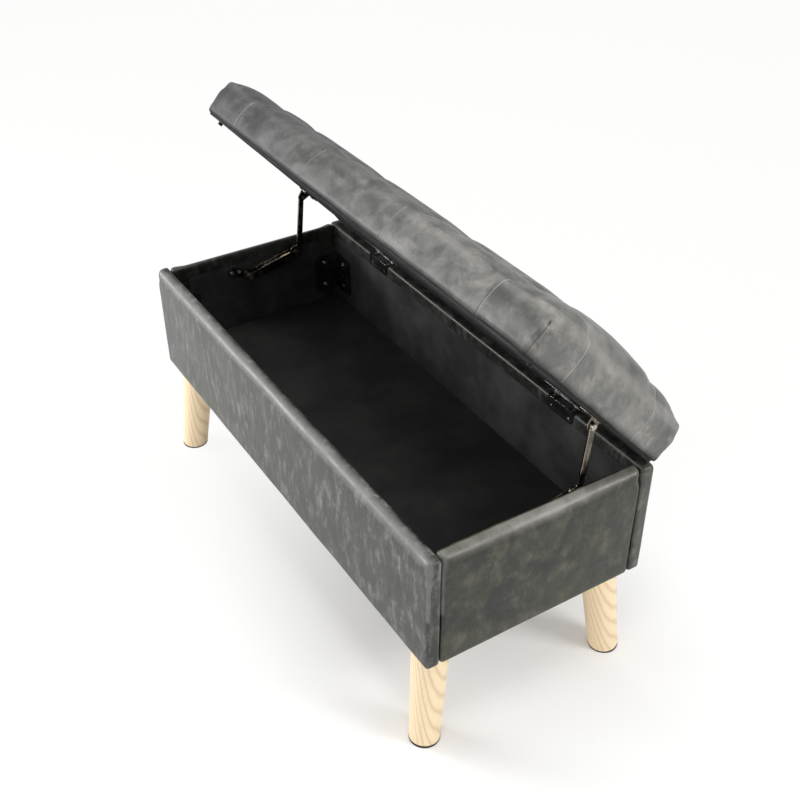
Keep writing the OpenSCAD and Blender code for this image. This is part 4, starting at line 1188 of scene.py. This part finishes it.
# %% [markdown]
# ## Springs
# Each stay has a spring round its plunger's rod. It is a wire swept along a helix
# in the line of the lower link. On the real stay it is pressed together by three
# millimetres as the lid closes.

# %% Springs
LINK_ANGLE = math.radians(12.551)
PIVOT = Vector((0, -0.025, 0.334))
LINK_WAY = Vector((0, math.cos(LINK_ANGLE), math.sin(LINK_ANGLE)))
LINK_UP = Vector((0, -math.sin(LINK_ANGLE), math.cos(LINK_ANGLE)))
STAY_X = 0.416
COILS, COIL_RADIUS, COIL_START, COIL_END, WIRE = 8, 0.00415, 0.0274, 0.07, 0.00065


def wire(path, radius, sides):
    """A round tube along a path of points: its points and faces."""
    points, faces = [], []
    for i, spot in enumerate(path):
        way = (path[min(i + 1, len(path) - 1)] - path[max(i - 1, 0)]).normalized()
        across = way.cross(LINK_WAY).normalized()
        up = way.cross(across)
        for k in range(sides):
            a = 2 * math.pi * k / sides
            points.append(spot + radius * (math.cos(a) * across + math.sin(a) * up))
    for i in range(len(path) - 1):
        for k in range(sides):
            a, b = i * sides + k, i * sides + (k + 1) % sides
            faces.append((a, b, b + sides, a + sides))
    faces.append(tuple(range(sides))[::-1])
    faces.append(tuple(range((len(path) - 1) * sides, len(path) * sides)))
    return points, faces


def spring(side, x):
    """The wound spring of one stay. The right one is wound the other way."""
    steps = COILS * 24
    pivot = PIVOT + Vector((x, 0, 0))
    path = []
    for i in range(steps + 1):
        a = math.radians(i * 15) * (1 if x > 0 else -1)
        along = COIL_START + (COIL_END - COIL_START) * i / steps
        round_it = COIL_RADIUS * (math.cos(a) * Vector((1, 0, 0)) + math.sin(a) * LINK_UP)
        path.append(pivot + LINK_WAY * along + round_it)
    coil = make_piece(side + "_spring_wire", *wire(path, WIRE, 10), side + "_link", "bright_steel")
    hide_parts(side + "_stay_spring")
    wear(coil, zinc)
    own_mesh(coil)
    return coil


for side, x in (("left", -STAY_X), ("right", STAY_X)):
    print(spring(side, x).name, "wound")


# %% [markdown]
# ## Screws
# A screw's head is a small disc with a cross pressed into it. It is made as rings
# of points round its middle, whose height follows a dome, or a flat face, minus
# the cross. One list of places serves for each CAD node of screws.

# %% A crossed screw
def ring(radius, sides, z, x=0.0, y=0.0):
    """A level ring of points round a middle."""
    turns = [2 * math.pi * k / sides for k in range(sides)]
    return [(x + radius * math.cos(a), y + radius * math.sin(a), z) for a in turns]


def screw_points(radius, dome, cross, shank, length, rings=9, sides=32):
    """A screw with its head's seat at z = 0, pointing down: rings of points."""
    points, faces = [(0.0, 0.0, dome - cross)], []
    arm_half, arm_length, arm_slope, seat = radius * 0.13, radius * 0.62, radius * 0.14, -0.00002
    for r in range(1, rings + 1):
        s = radius * (r / rings) ** 0.9
        for x, y, _ in ring(s, sides, 0.0):
            top = dome * (1 - 0.75 * (s / radius) ** 2.6)
            arm = min(max(abs(x) - arm_half, 0) + max(abs(y) - arm_length, 0),
                      max(abs(y) - arm_half, 0) + max(abs(x) - arm_length, 0))
            sunk = cross * max(0.0, 1 - arm / arm_slope) * max(0.0, 1 - 0.8 * (s / radius) ** 2)
            points.append((x, y, top - sunk))
    points += ring(radius, sides, seat) + ring(shank, sides, seat) + ring(shank, sides, -length)
    total = rings + 3
    for k in range(sides):
        n = (k + 1) % sides
        faces.append((0, 1 + k, 1 + n))
        for r in range(total - 1):
            a, b = 1 + r * sides, 1 + (r + 1) * sides
            faces.append((a + k, b + k, b + n, a + n))
    faces.append(tuple(1 + (total - 1) * sides + k for k in range(sides))[::-1])
    return points, faces


def screws(node, places, head, body, slot, made):
    """All screws of a node as one piece. A place is a point and the way its head faces."""
    one, one_faces = screw_points(*head)
    points, faces = [], []
    for n, (spot, way) in enumerate(places):
        turn = Vector((0, 0, 1)).rotation_difference(Vector(way))
        turn = turn @ Matrix.Rotation(0.7 * n, 3, "Z").to_quaternion()
        first = len(points)
        points += [turn @ Vector(p) + Vector(spot) for p in one]
        faces += [tuple(first + i for i in f) for f in one_faces]
    piece = make_piece(node + "_crossed", points, faces, body, slot)
    piece.data.set_sharp_from_angle(angle=math.radians(40))
    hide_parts(node)
    wear(piece, made)
    print(node, len(places))


def opened(places):
    """Places on the closed lid, moved to the open one."""
    turn = open_lid.to_3x3()
    return [(open_lid @ Vector(p), turn @ Vector(w)) for p, w in places]


# radius, height of the dome, depth of the cross, radius and length of the shank
ROUND = (0.0038, 0.0018, 0.0011, 0.0018, 0.012)
FLAT = (0.0034, 0.0001, 0.0009, 0.0016, 0.009)
print("screw heads:", round(2000 * ROUND[0], 1), "and", round(2000 * FLAT[0], 1), "mm wide")


# %% [markdown]
# Each place is a point on a plate and the way the head faces there. Those of the
# lid are given for the closed lid.

# %% Screws in place
SIDES = (-1, 1)
BRACKET_HEIGHT = 0.284
bracket_places = []
for sx in SIDES:
    for sy in SIDES:
        for z in (BRACKET_HEIGHT - 0.0235, BRACKET_HEIGHT + 0.0235):
            bracket_places.append(((sx * 0.4, sy * 0.167, z), (0, -sy, 0)))
            bracket_places.append(((sx * 0.426, sy * 0.141, z), (-sx, 0, 0)))
body_places, lid_places = [], []
for hx in (-HINGE_X, HINGE_X):
    for e in SIDES:
        body_places.append(((hx + e * 0.0234, 0.1745, 0.3815), (0, 0, 1)))
        body_places.append(((hx + e * 0.021, 0.167, 0.3675), (0, -1, 0)))
        lid_places.append(((hx + e * 0.0216, 0.1615, 0.3835), (0, 0, -1)))
plate_places = [((s * 0.426, y, z), (-s, 0, 0)) for s in SIDES for y, z in ((-0.055, 0.342), (-0.04, 0.3405))]
ear_places = [((s * 0.4009, 0.0611 + e * 0.011, 0.383), (0, 0, -1)) for s in SIDES for e in SIDES]
print("screws:", sum(map(len, (bracket_places, body_places, lid_places, plate_places, ear_places))))
screws("bracket_screws", bracket_places, ROUND, "base", "bright_steel", zinc)
screws("hinge_body_screws", body_places, FLAT, "base", "black_steel", rivet_steel)
screws("hinge_lid_screws", opened(lid_places), FLAT, "lid", "black_steel", rivet_steel)
screws("stay_plate_screws", plate_places, ROUND, "base", "bronze_steel", rivet_steel)
screws("stay_bracket_screws", opened(ear_places), ROUND, "lid", "bronze_steel", rivet_steel)


# %% [markdown]
# ## Small soft parts
# Felt discs keep the feet from scratching the floor. Here they reach the feet's
# edges, so each foot ends in a dark line. Two rubber studs let the lid down
# softly. The two materials differ only in the size of the fibres and in how matt
# they are.

# %% Felt and rubber
FOOT_RADIUS = 0.0237


def dull(name, tone, pale, scale, roughness):
    """Felt or rubber: a fine noise between two dark tones."""
    made, tree, shader = material(name, roughness=roughness)
    fuzz = noise(tree, "fibres or pores", here(tree), Scale=scale, Detail=4.0, Roughness=0.7)
    feed(tree, shader.inputs["Base Color"], blend(tree, tone, pale, ramp(tree, fuzz, 0.4, 0.7)))
    relief(tree, shader, fuzz, 0.5, 0.0004)
    return made


def felt_discs(radius, inner, sides=48):
    """The four glides as discs that reach the feet's edges, so they show as a dark line."""
    low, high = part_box("foot_glides")
    points, faces = [], []
    for sx in SIDES:
        for sy in SIDES:
            first = len(points)
            for z in (low.z, high.z):
                points += ring(radius, sides, z, sx * (high.x - inner), sy * (high.y - inner))
            lower = [first + k for k in range(sides)]
            upper = [k + sides for k in lower]
            faces += [(lower[k - 1], lower[k], upper[k], upper[k - 1]) for k in range(sides)]
            faces += [tuple(lower[::-1]), tuple(upper)]
    discs = make_piece("foot_glides_felt", points, faces, "base", "felt", smooth=False)
    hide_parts("foot_glides")
    return discs


glide_points = coordinates(frame["nodes"]["foot_glides"].data)
one_glide = glide_points[(glide_points[:, 0] > 0) & (glide_points[:, 1] > 0)]
glide_radius = float(np.ptp(one_glide[:, 0])) / 2
felt = dull("felt", (0.02, 0.018, 0.016), (0.045, 0.04, 0.036), 1600.0, 0.95)
rubber = dull("rubber", (0.012, 0.012, 0.012), (0.025, 0.025, 0.025), 900.0, 0.7)
wear(felt_discs(FOOT_RADIUS, glide_radius), felt)
wear(frame["nodes"]["lid_bumpers"], rubber)
print("felt glides: radius", round(glide_radius, 4), "in the CAD and", FOOT_RADIUS, "here")


# %% [markdown]
# ## Floor and light
# The object stands on a plain white floor in soft light. A wide lamp hangs over
# it, a low one at the left and one at the back right put highlights on the rolled
# edges, whose pale bands are also painted into the leather, and two at the front
# light the long panel and the legs. The world's even white fills the shadows. The
# floor looks brighter to the camera than it is, and keeps its shadow next to the box.

# %% Floor
FLOOR_SIZE = 14.0
FLOOR_GLOW = 1.0
FLOOR_SHARE = (0.1, 0.93)  # how much of the glow the camera sees, near the box and far from it
SHADED_SPOT, SHADED_SPAN = (0.5, 0.05, 0.0), (0.2, 1.0)


def make_floor():
    """A floor that is lit as any other one, and looks brighter to the camera away from the box."""
    made, tree, shader = material("white_floor", roughness=0.9, Specular_IOR_Level=0.0)
    feed(tree, shader.inputs["Base Color"], (0.95, 0.95, 0.943))
    glow = add(tree, "Emission", Color=(1.0, 1.0, 0.992), Strength=FLOOR_GLOW)
    away = add(tree, "VectorMath", "distance from the shaded spot", operation="DISTANCE")
    feed(tree, away.inputs[0], here(tree))
    feed(tree, away.inputs[1], SHADED_SPOT)
    far = ramp(tree, away.outputs["Value"], *SHADED_SPAN)
    share = plus(tree, times(tree, far, FLOOR_SHARE[1] - FLOOR_SHARE[0]), FLOOR_SHARE[0])
    seen = add(tree, "LightPath").outputs["Is Camera Ray"]
    mix = add(tree, "MixShader", Fac=times(tree, seen, share))
    feed(tree, mix.inputs[1], shader.outputs["BSDF"])
    feed(tree, mix.inputs[2], glow.outputs["Emission"])
    feed(tree, tree.nodes["Material Output"].inputs["Surface"], mix.outputs["Shader"])
    s = FLOOR_SIZE
    mesh = bpy.data.meshes.new("floor")
    mesh.from_pydata([(-s, -s, 0), (s, -s, 0), (s, s, 0), (-s, s, 0)], [], [(0, 1, 2, 3)])
    mesh.materials.append(made)
    floor = put_in_scene("floor", mesh)
    return floor


print("floor is", [round(v) for v in make_floor().dimensions.xy], "m")


# %% [markdown]
# Each lamp is a rectangle that faces a point near the object. The world gives
# every other ray an even white, and the camera a slightly brighter one.

# %% Lamps and world
WORLD_LIGHT, WORLD_SEEN_MORE = 0.5, 0.47


def softbox(name, place_at, target, size, power):
    """A lamp with a size in metres and a power in watts."""
    data = bpy.data.lights.new(name, "AREA")
    data.shape = "RECTANGLE"
    data.size, data.size_y = size
    data.energy = power
    lamp = put_in_scene(name, data)
    lamp.location = place_at
    lamp.rotation_euler = (Vector(target) - Vector(place_at)).to_track_quat("-Z", "Y").to_euler()


softbox("overhead", (0.0, 0.0, 2.6), (0.0, 0.0, 0.2), (2.4, 1.4), 32.0)
softbox("low_left", (-1.95, -1.8, 0.95), (0.0, -0.1, 0.35), (1.0, 0.5), 30.0)
softbox("back_right", (2.0, 1.2, 1.7), (0.4, 0.0, 0.35), (0.8, 0.5), 24.0)
softbox("left_front", (-1.6, -2.2, 1.9), (0.0, 0.0, 0.3), (1.8, 1.4), 22.0)
softbox("low_front", (1.7, -2.6, 0.6), (-0.3, 0.0, 0.1), (1.2, 0.7), 10.0)
world = bpy.data.worlds.new("studio")
bpy.context.scene.world = world
world.use_nodes = True
backdrop = world.node_tree.nodes["Background"]
backdrop.inputs["Color"].default_value = (1, 1, 0.995, 1)
seen = add(world.node_tree, "LightPath").outputs["Is Camera Ray"]
strength = plus(world.node_tree, times(world.node_tree, seen, WORLD_SEEN_MORE), WORLD_LIGHT)
feed(world.node_tree, backdrop.inputs["Strength"], strength)
bpy.context.scene.view_settings.view_transform = "Standard"
